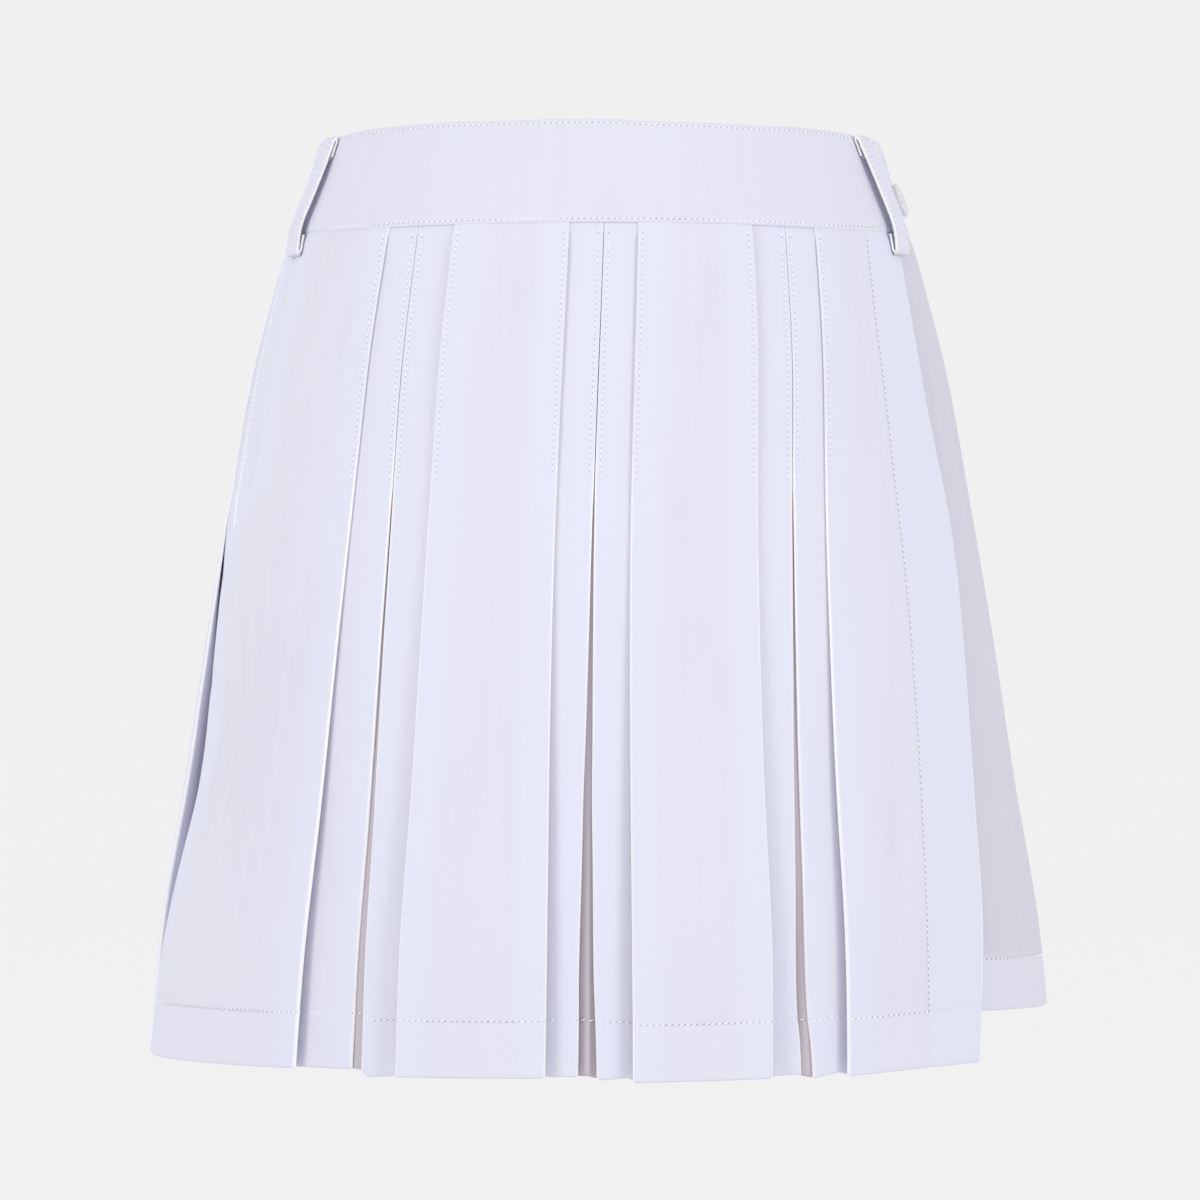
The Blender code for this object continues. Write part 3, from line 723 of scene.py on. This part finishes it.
def hung_drop(level, turns, hem_drop_at):
    """Where a level of the panel really hangs, between its own seam and its own hem."""
    top = SKIRT_TOP_DROP + seam_dip(turns)
    return blend(top, hem_drop_at(turns), fall_at(level))


def build_panel(name, panel, material):
    """A skirt panel: its rows run down to the hem, and up again behind it for the turned-up hem."""
    levels, up = skirt_levels(), turn_up_rows()
    level = np.concatenate([levels, HEM_DROP - up[:, 0]])[:, None]
    behind = np.concatenate([0 * levels, up[:, 1]])[:, None]
    drop = np.minimum(level, HEM_DROP)
    section = Section(drop)
    panel.fill(section)
    arcs, depths, near_main, near_centre, inside = section.arrays()
    normal_arc, normal_depth = section_normals(arcs, depths)
    arcs = arcs + normal_arc * behind
    depths = depths + normal_depth * behind + panel_relief(panel, drop, arcs, near_main, near_centre)
    turns = turn_at(drop, arcs)
    points = on_ring(hung_drop(level, turns, panel.hem_at), turns, depths)
    down = np.concatenate([levels, HEM_DROP + up[:, 0]])[:, None]
    uv = over_grid(lengths_along(points[len(levels) - 1]), down)
    # A painted highlight, a thin bright line, lies on the outer side of each fold, and the cloth beside a
    # fold is doubled.
    spread = ease(drop, STITCH_END_DROP - 58, STITCH_END_DROP + 22)
    pressed = np.maximum(0.35 * bump(near_main, 0.0, 0.4), spread * bump(near_centre, 0.0, 0.5))
    doubled = np.maximum(1 - ease(near_main, 9.0, 15.0), 1 - ease(near_centre, 8.0, 14.0))
    turned_up = ease(level, HEM_TURN_UP_DROP - 1.5, HEM_TURN_UP_DROP + 1.5)
    # The under panel's turned-up hem takes much of its lighter dense colour: doubled cloth, and less of
    # that panel's painted shade.
    doubled = np.maximum(doubled, (0.9 if panel is UNDER else 0.4) * turned_up)
    if panel is FRONT:
        facing = facing_stitch_arc(drop)
        doubled = np.maximum(doubled, ease(arcs, facing - 1.0, facing + 1.0))
    return add_grid(name, points, material, uv, shell=SHELL, marks=over_grid(pressed, doubled, inside))


def wrap_edge_arc(drop):
    return arc_at(drop, smooth_through(drop, WRAP_EDGE_DROP, WRAP_EDGE_TURN))


def facing_stitch_arc(drop):
    return smooth_through(drop, FACING_STITCH_DROP, FACING_STITCH_ARC)


def front_hem(turn):
    return np.interp(turn, FRONT_HEM_TURN, FRONT_HEM_DROP)


def back_hem(turn):
    return blend(UNDER_HEM_DROP, HEM_DROP - 3.0, ease(turn, SIDE_SEAM_TURN, 250.0))


def under_hem(turn):
    return np.interp(turn, UNDER_HEM_TURNS, UNDER_HEM_DROPS)


def fill_front(section):
    drop = section.drop
    seam = arc_at(drop, -SIDE_SEAM_TURN)
    section.seam(seam, 1)
    start = section.groups(seam + SEAM_CLEAR, dict(zip(FRONT_PLEATS, (3, 6, 5, 5))))
    edge, facing = wrap_edge_arc(drop), facing_stitch_arc(drop)
    section.main(start, edge, 4, lines=(facing,))
    gap = TURNED_GAP * (1 + 2 * ease(drop, HEM_TURN_UP_DROP - 8, HEM_TURN_UP_DROP + 1))
    section.tip(edge, 1, 0 * gap, gap)
    section.run(edge, facing - 1.2, gap, gap, (0.08, 0.25, 0.5, 0.75, 0.93, 1.0))


def fill_back(section):
    seam, last = (arc_at(section.drop, turn) for turn in (SIDE_SEAM_TURN, 360.0 - SIDE_SEAM_TURN))
    section.seam(seam, 1)
    start = section.groups(seam + SEAM_CLEAR, dict.fromkeys(BACK_PLEATS, 6))
    section.main(start, last - SEAM_CLEAR, 6)
    section.seam(last, -1)


def fill_under(section):
    start = blend(UNDER_EDGE_ARC_SEAM, UNDER_EDGE_ARC_HEM, fall_at(section.drop))
    last = arc_at(section.drop, SIDE_SEAM_TURN)
    gap = TURNED_GAP + 0 * section.drop
    section.run(start, start + 8.0, gap, gap, (1.0, 0.5, 0.12))
    section.tip(start, -1, gap, 0 * gap)
    section.main(start, last - SEAM_CLEAR, 12)
    section.seam(last, -1)


def on_the_ring(drop, arcs):
    return 0.0


def behind_the_wrap(drop, arcs):
    """The panel under the wrap lies behind it, and comes out past its edge."""
    past = arcs - wrap_edge_arc(drop)
    return 2.0 + 3.0 * ease(drop, 41, 75) * (1 - ease(past, 3.0, 30.0)) - 2.0 * ease(past, 1, 22)


FRONT = Panel(fill_front, front_hem, FRONT_CREASES, FRONT_PLEATS, on_the_ring)
BACK = Panel(fill_back, back_hem, BACK_CREASES, BACK_PLEATS, on_the_ring)
UNDER = Panel(fill_under, under_hem, UNDER_CREASES, {}, behind_the_wrap)


# ---------------------------------------------------------------- the skirt's stitching
STITCHING_TOP_DROP = 42.6


def skirt_row(panel, drop, arcs, layer=0.0, near_main=FAR, near_centre=FAR):
    """A row of stitches on a skirt panel, at these drops and arcs and on the layer of that depth."""
    drop, arcs = np.broadcast_arrays(np.asarray(drop, float), np.asarray(arcs, float))
    depth = layer + panel_relief(panel, drop, arcs, near_main + 0 * drop, near_centre + 0 * drop)
    turns = turn_at(drop, arcs)
    real_drop = hung_drop(drop, turns, panel.hem_at)
    return ring_row(real_drop, turns, depth - SHELL / 2 - 0.02)


def pleat_stitch_rows(panel):
    """Each group is stitched flat by four rows: one outside each main fold, and one on either
    side of its centre line."""
    drop = np.linspace(STITCHING_TOP_DROP, STITCH_END_DROP, 120)
    inset = FOLD_STITCH_INSET
    rows = []
    for name in panel.pleats:
        centre, low, high, opening = pleat_sizes(drop, name)
        middle, narrow = centre + opening_slide(drop, name), 2 * group_pitch(drop, name)
        for arcs in (centre - low - inset, centre + high + inset):
            rows.append(skirt_row(panel, drop, arcs, near_main=inset))
        for arcs in (middle - opening - inset, middle + opening + inset):
            rows.append(skirt_row(panel, drop, arcs, narrow, near_centre=inset))
    return rows


def hem_stitch_rows(panel, start, end):
    """The hem's stitching, on what shows of the main panels, the narrow panels and underlays."""
    drop = np.array([HEM_STITCH_DROP])
    spans = []
    for name in panel.pleats:
        pitch, slide = group_pitch(drop, name)[0], opening_slide(drop, name)[0]
        centre, low, high, opening = (v[0] for v in pleat_sizes(drop, name))
        sink, middle = (np.ravel(v)[0] for v in underlay_hang(drop, name)[:2])
        left, right = centre + slide - opening, centre + slide + opening
        upper, lower = 2 * pitch, 4 * pitch + sink + middle
        spans += [(start, centre - low - 0.6, 0.0, 0.0),
                  (centre - low + 0.4, left - 0.6, upper + sink, upper),
                  (left, right, lower, lower),
                  (right + 0.6, centre + high - 0.4, upper, upper + sink)]
        start = centre + high + 0.6
    rows = []
    for low, high, from_layer, to_layer in spans + [(start, end, 0.0, 0.0)]:
        if high - low > 2.0:
            arcs = np.linspace(low, high, max(4, int((high - low) / 3)))
            layer = blend(from_layer, to_layer, ease(arcs, low, high))
            rows.append(skirt_row(panel, HEM_STITCH_DROP, arcs, layer))
    return rows


def facing_stitch_rows():
    drop = np.linspace(STITCHING_TOP_DROP, HEM_STITCH_DROP, 200)
    return [skirt_row(FRONT, drop, facing_stitch_arc(drop))]


# ---------------------------------------------------------------- the waistband
def band_depth(turn):
    return blend(BAND_UNDER_DEPTH, BAND_OVER_DEPTH, ease(turn, *BAND_STEP_OUT_TURNS))


BAND_STITCH_DROPS = (1.1, 38.7)
BAND_PRESS_DROP = 33.0
BAND_MIDDLE_DROP = 20.0
# Soft dents of the worn band: the arc and drop of both ends, the width and the lift.
BAND_CREASES = (
    (-96, 4, -126, 30, 7.5, -1.5),
    (-88, 16, -112, 38, 7, 0.7),
    (86, 8, 112, 30, 7.5, -1.3),
    (84, 24, 100, 40, 6, 0.4),
    (30, 6, 52, 30, 7, 0.3),
    (-44, 8, -58, 32, 7, -0.3),
    (150, 8, 168, 30, 6, -0.4),
    (262, 8, 276, 32, 7, 0.35),
    (340, 6, 352, 34, 8, -0.35),
    (420, 8, 408, 30, 7, 0.3),
    (500, 10, 486, 30, 6, -0.4),
)
# How far the top edge of the worn band stands higher than a level ring, by turn.
BAND_TOP_TURNS = (-180, -90, -70, -62, -57, -51, -40, -30, -20, -8,
                  0, 4, 8, 20, 33, 43, 55, 62, 80, 180)
BAND_TOP_LIFTS = (0, 0, 0.2, 0.4, 0.9, 1.2, 1.3, 1.5, 1.1, 1.4,
                  1.5, 1.1, 0.6, 0.4, 0.1, 0.7, 0.5, 0.2, 0, 0)


def band_hang(drop, turn):
    """The real drop of a place on the band: the seam dips in front, and the top edge is uneven."""
    from_front = (turn + 180.0) % 360.0 - 180.0
    lift = np.interp(from_front, BAND_TOP_TURNS, BAND_TOP_LIFTS)
    return drop + seam_dip(turn) * drop / BAND_SEAM_DROP - lift * (1 - ease(drop, 0.0, 14.0))


def band_profile():
    """The strip's section, all round: drop, and half its thickness on the outside or inside. It
    is padded between its rows of stitching and thinner along them."""
    face = np.array([0.3, 0.6, 0.85, 1.1, 1.35, 1.6, 2.0, 2.6, 3.4, 4.8, 7, 11, 16, 21, 26, 30, 31.6,
                     32.5, 33, 33.5, 34.4, 36, 37.4, 38.0, 38.4, 38.7, 39.0, 39.35, 39.7])
    half = 1.0 + 0.25 * np.sin(np.pi * np.clip((face - 1.1) / 37.6, 0, 1)) ** 0.5
    half -= 0.22 * sum(bump(face, drop, 0.45) for drop in BAND_STITCH_DROPS)
    half -= 0.05 * bump(face, BAND_PRESS_DROP, 0.6)
    angles = np.radians([25, 55, 90, 125, 155])
    low = [(face[-1] + 0.75 * math.sin(a), 0.95 * math.cos(a)) for a in angles]
    top = [(face[0] - 0.8 * math.sin(a), -0.95 * math.cos(a)) for a in angles]
    inner = [(d, -np.interp(d, face, half)) for d in face[::-2]]
    return np.array(list(zip(face, half)) + low + inner + top)


def build_waistband(material):
    profile = band_profile()
    ends = np.array([0.0, 0.0, 0.15, 0.5])
    body = np.linspace(BAND_UNDER_END_TURN + 1.5, BAND_TAB_END_TURN - 1.5, 300)
    turns = np.concatenate([BAND_UNDER_END_TURN + ends, body, BAND_TAB_END_TURN - ends[::-1]])
    end_thickness = [0.02, 0.6, 0.85, 1.0]
    squeeze = np.concatenate([end_thickness, np.ones(300), end_thickness[::-1]])
    drop = profile[:, :1] + 0 * turns
    arc = arc_at(BAND_MIDDLE_DROP, turns)
    dents = crease_depth(arc[None], drop, BAND_CREASES) * (band_depth(turns) < 2.0)
    seam_pull = 0.12 * np.sin(arc / 9.0) * np.sin(arc / 23.0) * ease(drop, 28, 40)
    depth = band_depth(turns) - profile[:, 1:] * squeeze + dents + seam_pull
    points = on_ring(band_hang(drop, turns), turns, depth)
    uv = over_grid(arc, lengths_along(profile)[:, None])
    return add_grid("waistband_cloth", points, material, uv, closed_rows=True)


def band_stitch_rows():
    """Two rows of edge stitching on the outside of the strip and one across its tab end."""
    rows = []
    turns = np.linspace(BAND_STEP_OUT_TURNS[1] - 6, BAND_TAB_END_TURN - 0.9, 500)
    for drop in BAND_STITCH_DROPS:
        dents = crease_depth(arc_at(BAND_MIDDLE_DROP, turns), drop + 0 * turns, BAND_CREASES)
        rows.append(ring_row(band_hang(drop, turns), turns, band_depth(turns) - 0.82 + dents))
    return rows + [ring_row(np.linspace(3.0, 37.8, 30), BAND_TAB_END_TURN - 1.3, 0.05)]


# ---------------------------------------------------------------- the belt loops
LOOP_DROP = (8.5, 4.5, 1.2, 0.1, 1.0, 5, 12, 21, 30, 39, 46, 49.6, 50.6, 49.4, 46, 42)
LOOP_STAND_OFF = (0.85, 0.85, 0.95, 1.7, 2.5, 3.0, 3.6, 4.0, 4.1, 3.9, 3.2, 2.5, 1.65, 1.0, 0.85, 0.85)
LOOP_FREE_STAND_OFF = 1.7
LOOP_COLUMNS = (6.05, 5.6, 5.0, 4.6, 4.2, 3.4, 1.8)
LOOP_STITCH_OFFSET = 4.6
# The loop on the wearer's right lies a little closer to the band.
LOOP_FLATNESS = {"belt_loop_left": 1.0, "belt_loop_right": 0.74}


def loop_path(name):
    """The loop's run down the band, smoothed: drop and stand-off."""
    stand_off = np.array(LOOP_STAND_OFF)
    more = stand_off - LOOP_FREE_STAND_OFF
    stand_off = np.where(more > 0, LOOP_FREE_STAND_OFF + more * LOOP_FLATNESS[name], stand_off)
    length = lengths_along(np.stack([LOOP_DROP, stand_off], axis=-1))
    fine = np.linspace(0, length[-1], 110)
    return smooth_through(fine, length, LOOP_DROP), smooth_through(fine, length, stand_off)


def loop_turns(drop, line, across):
    """The turns at these drops of the places this far across the loop from its middle line."""
    return turn_at(drop, arc_at(drop, smooth_through(drop, LOOP_TURN_DROPS, line)) + across)


def build_belt_loop(name, line, material):
    drop, stand_off = loop_path(name)
    half = LOOP_WIDTH / 2
    right = [half, *LOOP_COLUMNS]
    across = np.array([-place for place in right] + [0] + right[::-1])
    edge = np.abs(across)
    groove = 0.12 * bump(edge, LOOP_STITCH_OFFSET, 0.4)
    roll = -0.25 * ease(edge, 5.6, half) - groove + 0.1 * (1 - edge / half)
    along_drop, along_off = np.gradient(drop), np.gradient(stand_off)
    length = np.hypot(along_drop, along_off)
    # The strip's own outer face: away from the band on its long run, towards it on the tucks.
    rows_drop = drop[:, None] - (along_off / length)[:, None] * roll
    rows_off = stand_off[:, None] + (along_drop / length)[:, None] * roll
    points = on_ring(rows_drop, loop_turns(rows_drop, line, across), -rows_off)
    uv = over_grid(across, lengths_along(np.stack([drop, stand_off], axis=-1))[:, None])
    # A painted highlight along both folded edges of the loop, and a little of the doubled cloth's colour.
    marks = over_grid(bump(edge, half, 0.45) + 0 * drop[:, None], 0.3, 0.0)
    return add_grid(name + "_cloth", points, material, uv, shell=0.95, marks=marks)


def loop_stitch_rows(name):
    """Two rows of edge stitching down the loop's outside and a tack at its top and bottom."""
    line = LOOP_TURNS[name]
    drop, stand_off = loop_path(name)
    outside = slice(14, 78)
    rows = []
    drops, off = drop[outside], stand_off[outside]
    for across in (-LOOP_STITCH_OFFSET, LOOP_STITCH_OFFSET):
        rows.append(ring_row(drops, loop_turns(drops, line, across), -(off + 0.42)))
    for tack, off in ((8.9, 0.5), (50.9, 0.4)):
        across = np.linspace(-4.8, 4.8, 12)
        rows.append(ring_row(tack, loop_turns(tack, line, across), -off, pitch=1.2))
    return rows


# ---------------------------------------------------------------- the shorts
def shorts_clearance(drop, turn):
    doubled = ease(turn, BAND_UNDER_END_TURN - 10, BAND_UNDER_END_TURN - 2)
    doubled = doubled * (1 - ease(turn, BAND_STEP_OUT_TURNS[0] + 4, BAND_STEP_OUT_TURNS[1] + 6))
    at_band = 3.5 + 2.9 * doubled
    inside_pleats = smooth_through(drop, (40.5, 48, 90, 165, 250, 330), (7.8, 8.0, 9.5, 13, 20, 28))
    return at_band + (inside_pleats - at_band) * ease(drop, 36.0, 40.5)


SHORTS_PANELS = {
    "shorts_front_left": (1, -1),
    "shorts_front_right": (-1, -1),
    "shorts_back_left": (1, 1),
    "shorts_back_right": (-1, 1),
}


def shorts_surface(side, facing, drop, closing, share, depth):
    """Points of one quarter of the shorts, as in part.py, moved inwards by the depth."""
    across = half_width(drop)
    angle = (math.pi / 2 + closing) * share
    turn = 90.0 + facing * np.degrees(angle)
    clearance = shorts_clearance(drop, turn if side > 0 else 360.0 - turn)
    legs_apart = 5.0 * ease(drop, SHORTS_CROTCH_DROP, SHORTS_HEM_DROP)
    inner = 0.2 + 0.6 * np.sin(closing) + legs_apart
    outer = across - clearance
    half = (outer - inner) / (1 + np.sin(closing))
    loss = 29.0 * ease(drop, SHORTS_RISE_DROP - 20.0, SHORTS_CROTCH_DROP)
    deep = across * RING_DEPTH_RATIO - clearance - loss
    x = outer - half + (half - depth) * np.cos(angle)
    y = (deep - depth) * np.sin(angle)
    return over_grid(side * x, facing * y, BAND_HEIGHT / 2 - drop)


def build_shorts_panel(name, side, facing, material):
    """A quarter of the shorts: rows down to the leg hem and up again behind it, and columns from
    the side seam to the centre or inseam, where the cloth rolls in."""
    curve = np.radians(np.linspace(0, 90, 16))
    body = np.array([33, 35, 36.5, 38, 39.5, 41, 44, 50, 60, 75, 90, 105, 120, 135, 150])
    round_crotch = SHORTS_RISE_DROP + (SHORTS_CROTCH_DROP - SHORTS_RISE_DROP) * np.sin(curve)
    leg = np.array([258, 268, 280, 292, 300, 306, 309.4, 310, 310.6, 314, 320, 326, 330])
    back_up = np.array([330.2, 330.0, 328.0, 320.0, 312.0, 309.0])
    drop = np.concatenate([body, round_crotch, leg, back_up])[:, None]
    closing = np.concatenate([np.zeros(15), curve, np.full(19, math.pi / 2)])[:, None]
    behind = np.array([0.0] * 44 + [0.35] + [0.8] * 5)[:, None]
    share = np.array([0.0, 0.004, 0.012, 0.03, *np.linspace(0.07, 0.93, 22), 0.97, 0.988, 0.996, 1.0])
    seam = 0.7 * (bump(share, 0.0, 0.006) + bump(share, 1.0, 0.006))
    depth = behind + seam + 0.15 * bump(drop, SHORTS_STITCH_DROP, 0.8)
    points = shorts_surface(side, facing, drop, closing, share, depth)
    points[..., 0] += np.where(share == 1.0, side * 0.05, 0.0)
    points[..., 1] += np.where(share == 0.0, facing * 0.15, 0.0)
    if side * facing < 0:
        points = points[:, ::-1]
    uv = over_grid(lengths_along(points[20]), drop)
    return add_grid(name + "_cloth", points, material, uv, shell=0.6)


def shorts_hem_rows():
    rows = []
    for side, facing in SHORTS_PANELS.values():
        share = np.linspace(0.01, 0.99, 60)
        for drop in (SHORTS_STITCH_DROP - 1.1, SHORTS_STITCH_DROP + 1.1):
            path, inner = (shorts_surface(side, facing, drop, math.pi / 2, share, depth)
                           for depth in (-0.3, 1.0))
            out = (path - inner) / np.linalg.norm(path - inner, axis=1, keepdims=True)
            rows.append(stitches_along(path, out, pitch=2.8))
    return rows


# ---------------------------------------------------------------- the button
def button_place():
    """Where the button sits on the tab, and its directions round, up and outwards."""
    here = on_ring(BUTTON_DROP, BUTTON_TURN, 0.0)
    out = ring_normals(BUTTON_DROP, BUTTON_TURN)
    up = here - on_ring(BUTTON_DROP + 1.0, BUTTON_TURN, 0.0)
    up /= np.linalg.norm(up)
    return here, np.stack([np.cross(up, out), up, out])


def turned(profile, steps):
    """A profile of radius and height, turned about its axis: rows along it and columns round."""
    angle = np.append(np.arange(steps), 0) * math.tau / steps
    radius, height = np.array(profile, float).T
    return over_grid(radius[:, None] * np.cos(angle), radius[:, None] * np.sin(angle), height[:, None])


def build_button(material):
    """A turned disc with a rounded rim, a dished face and four drilled holes."""
    here, axes = button_place()
    back, front, rim = BUTTON_BACK, BUTTON_FRONT, BUTTON_RADIUS
    corner = np.radians([0, 30, 60, 90])
    edge = [(rim - 0.9 + 0.9 * math.sin(a), back + 0.9 - 0.9 * math.cos(a)) for a in corner]
    edge += [(rim - 0.6 + 0.6 * math.cos(a), front - 0.6 + 0.6 * math.sin(a)) for a in corner]
    face = [(6.2, front - 0.03), (5.8, front - 0.2), (5.3, front - 0.55), (4.6, front - 0.68),
            (2.5, front - 0.72), (0.0, front - 0.72)]
    disc = turned([(0.0, back), (3.5, back)] + edge + face, 64)[::-1]
    button = add_grid("button_disc", here + disc @ axes, material)
    weld(button)
    for x in (-BUTTON_HOLE_OFFSET, BUTTON_HOLE_OFFSET):
        for y in (-BUTTON_HOLE_OFFSET, BUTTON_HOLE_OFFSET):
            outline = [(0.0, back - 1), (0.7, back - 1), (0.7, front + 1), (0.0, front + 1)]
            drill = turned(outline, 16)[::-1]
            cutter = add_grid("button_drill", here + (drill + np.array([x, y, 0.0])) @ axes, material)
            weld(cutter)
            cutter.hide_render = True
            cut = button.modifiers.new("drilled hole", "BOOLEAN")
            cut.object = cutter
    return button


def weld(piece):
    closed = piece.modifiers.new("closed", "WELD")
    closed.merge_threshold = 0.00002


def button_thread_rows():
    """The thread that holds the button: two bars across its holes, and its wrapped shank."""
    here, axes = button_place()
    rows = []
    for x in (-BUTTON_HOLE_OFFSET, BUTTON_HOLE_OFFSET):
        for side in (-0.22, 0.0, 0.22):
            line = np.array([[x + side, y, BUTTON_FRONT - 0.5] for y in np.linspace(-1.5, 1.5, 7)])
            rows.append(stitches_along(here + line @ axes, np.tile(axes[2], (7, 1)), pitch=3.0))
    for height in (0.35, 0.75, 1.15):
        angle = np.radians(np.linspace(0, 360, 25))
        away = over_grid(np.cos(angle), np.sin(angle), 0.0)
        ring = 1.35 * away + np.array([0.0, 0.0, height])
        rows.append(stitches_along(here + ring @ axes, away @ axes, pitch=0.9))
    return rows


# Each node's material slot and cut. The cut is in metres: its greatest width and its usual length
# along its own surface, with pleats opened and hem turned down. Then how it is held, what holds it,
# and its area where it isn't a rectangle. The waistband is a strip folded lengthwise, so its length
# is half the way round it.
CUTS = {
    "skirt_front_wrap": ("skirt_cloth", (0.952, 0.382), "hung", ["waistband"], 0.348),
    "skirt_back": ("skirt_cloth", (0.794, 0.372), "hung", ["waistband"], 0.277),
    "skirt_front_under": ("skirt_cloth", (0.199, 0.363), "hung", ["waistband"], 0.0599),
    "waistband": ("waistband_cloth", (0.807, 0.044), "hung", [], None),
    **dict.fromkeys(SHORTS_PANELS, ("shorts_cloth", (0.264, 0.333), "hung", ["waistband"], 0.0718)),
    **dict.fromkeys(LOOP_TURNS, ("waistband_cloth", (0.0125, 0.073), "folded", ["waistband"], None)),
}


def main():
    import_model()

    cloth = woven_cloth("skirt_woven_polyester", "#DEDDEB", "#DBDAE8", "#DEDFEF")
    # The under panel's cloth is a greyer copy of the skirt cloth: painted shade of the wrap that lies
    # over it.
    shaded_cloth = woven_cloth("skirt_woven_polyester_painted_shade_under_wrap",
                               "#D1CFDC", "#CECCD9", "#DBDAE9")
    band_cloth = woven_cloth("waistband_woven_polyester", "#DDDDEB", "#DBDBE9", "#DCDDED")
    shorts_cloth = woven_cloth("shorts_fine_knit", "#D8D8E4", "#D3D3E0", "#DADAE8", 0.8, 0.08)
    thread = sewing_thread()
    resin = button_plastic()
    # The dent that a needle leaves is painted shade: the cloth's own colour, deep in shade.
    holes = start_material("needle_hole_shade", 0.9, "#B6B3C5")[0]

    pieces = {
        "skirt_front_wrap": build_panel("skirt_front_wrap_cloth", FRONT, cloth),
        "skirt_back": build_panel("skirt_back_cloth", BACK, cloth),
        "skirt_front_under": build_panel("skirt_front_under_cloth", UNDER, shaded_cloth),
        "waistband": build_waistband(band_cloth),
    }
    for name, (side, facing) in SHORTS_PANELS.items():
        pieces[name] = build_shorts_panel(name, side, facing, shorts_cloth)
    for name, line in LOOP_TURNS.items():
        pieces[name] = build_belt_loop(name, line, band_cloth)
    pieces["button"] = build_button(resin)

    seam, last = (arc_at(HEM_STITCH_DROP, turn) for turn in (SIDE_SEAM_TURN, 360 - SIDE_SEAM_TURN))
    facing, wrap_end = facing_stitch_arc(HEM_STITCH_DROP), wrap_edge_arc(HEM_STITCH_DROP)
    stitching = {
        "skirt_front_pleat_stitching": pleat_stitch_rows(FRONT),
        "skirt_back_pleat_stitching": pleat_stitch_rows(BACK),
        "skirt_front_hem_stitching": hem_stitch_rows(FRONT, -seam + 1, facing),
        "skirt_back_hem_stitching": hem_stitch_rows(BACK, seam + 1, last - 1),
        "skirt_under_hem_stitching": hem_stitch_rows(UNDER, wrap_end - 20, seam - 1),
        "wrap_facing_stitching": facing_stitch_rows(),
        "waistband_stitching": band_stitch_rows(),
        **{name + "_stitching": loop_stitch_rows(name) for name in LOOP_TURNS},
        "shorts_hem_stitching": shorts_hem_rows(),
        "button_thread": button_thread_rows(),
    }
    sewn = {name: add_along(name, rows, stitch_template(), thread) for name, rows in stitching.items()}
    for name, rows in stitching.items():
        if name not in ("button_thread", "shorts_hem_stitching"):
            sewn[name + "_needle_hole_painted_shade"] = add_along(name + "_needle_hole_painted_shade", rows, needle_hole_template(), holes)

    for node, piece in pieces.items():
        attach(piece, "root")
        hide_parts(node)
    for piece in sewn.values():
        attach(piece, "root")

    build_stage_and_camera()


def build_stage_and_camera():
    """A pale bowl whose floor curves up into its wall and which glows all round, two soft lamps in
    front, and the camera level with the garment's middle."""
    profile = [(0.0, -900.0), (1500, -900), (2300, -880), (3000, -780), (3500, -560), (3850, -200),
               (4000, 300), (4000, 3000), (3000, 4000), (1500, 4400), (1.0, 4450)]
    material, tree, shader = start_material("pale_studio_bowl", 0.9, "#808080")
    shader.inputs["Emission Color"].default_value = linear("#F0F0F0")
    # The bowl glows most behind the garment, so that the light on it comes more from the front.
    place = add_node(tree, "ShaderNodeTexCoord")
    parts = add_node(tree, "ShaderNodeSeparateXYZ", Vector=place.outputs["Object"])
    glow = add_node(tree, "ShaderNodeMapRange", interpolation_type="SMOOTHSTEP", Value=parts.outputs["Y"],
                    From_Min=0.4, From_Max=2.0, To_Min=0.62, To_Max=0.772)
    tree.links.new(glow.outputs["Result"], shader.inputs["Emission Strength"])
    # No ray is aimed at the bowl, since it is on all sides anyway.
    material.cycles.emission_sampling = "NONE"
    bowl = add_grid("studio_bowl", turned(profile, 72), material)
    world = bpy.data.worlds.new("studio")
    bpy.context.scene.world = world
    world.use_nodes = True
    world.node_tree.nodes["Background"].inputs["Color"].default_value = linear("#F0F0F0")
    world.node_tree.nodes["Background"].inputs["Strength"].default_value = 0.2
    for name, place, power in (("front_left_light", (-2.0, -1.7, 0.6), 21.5),
                               ("front_right_light", (2.0, -1.7, 0.5), 20.5)):
        lamp = bpy.data.lights.new(name, "AREA")
        lamp.energy = power
        lamp.size = 1.0
        light = bpy.data.objects.new(name, lamp)
        bpy.context.scene.collection.objects.link(light)
        light.location = place
        light.rotation_euler = (Vector((0, 0, -0.2)) - Vector(place)).to_track_quat("-Z", "Y").to_euler()
    camera_data = bpy.data.cameras.new("camera")
    camera_data.lens = 131.4
    camera_data.sensor_width = 36.0
    camera_data.shift_y = 0.025
    camera = bpy.data.objects.new("camera", camera_data)
    bpy.context.scene.collection.objects.link(camera)
    camera.location = (0.0, -1.93, -0.192)
    camera.rotation_euler = (math.pi / 2, 0.0, 0.0)
    bpy.context.scene.camera = camera
    bpy.context.scene.view_settings.view_transform = "Standard"


main()
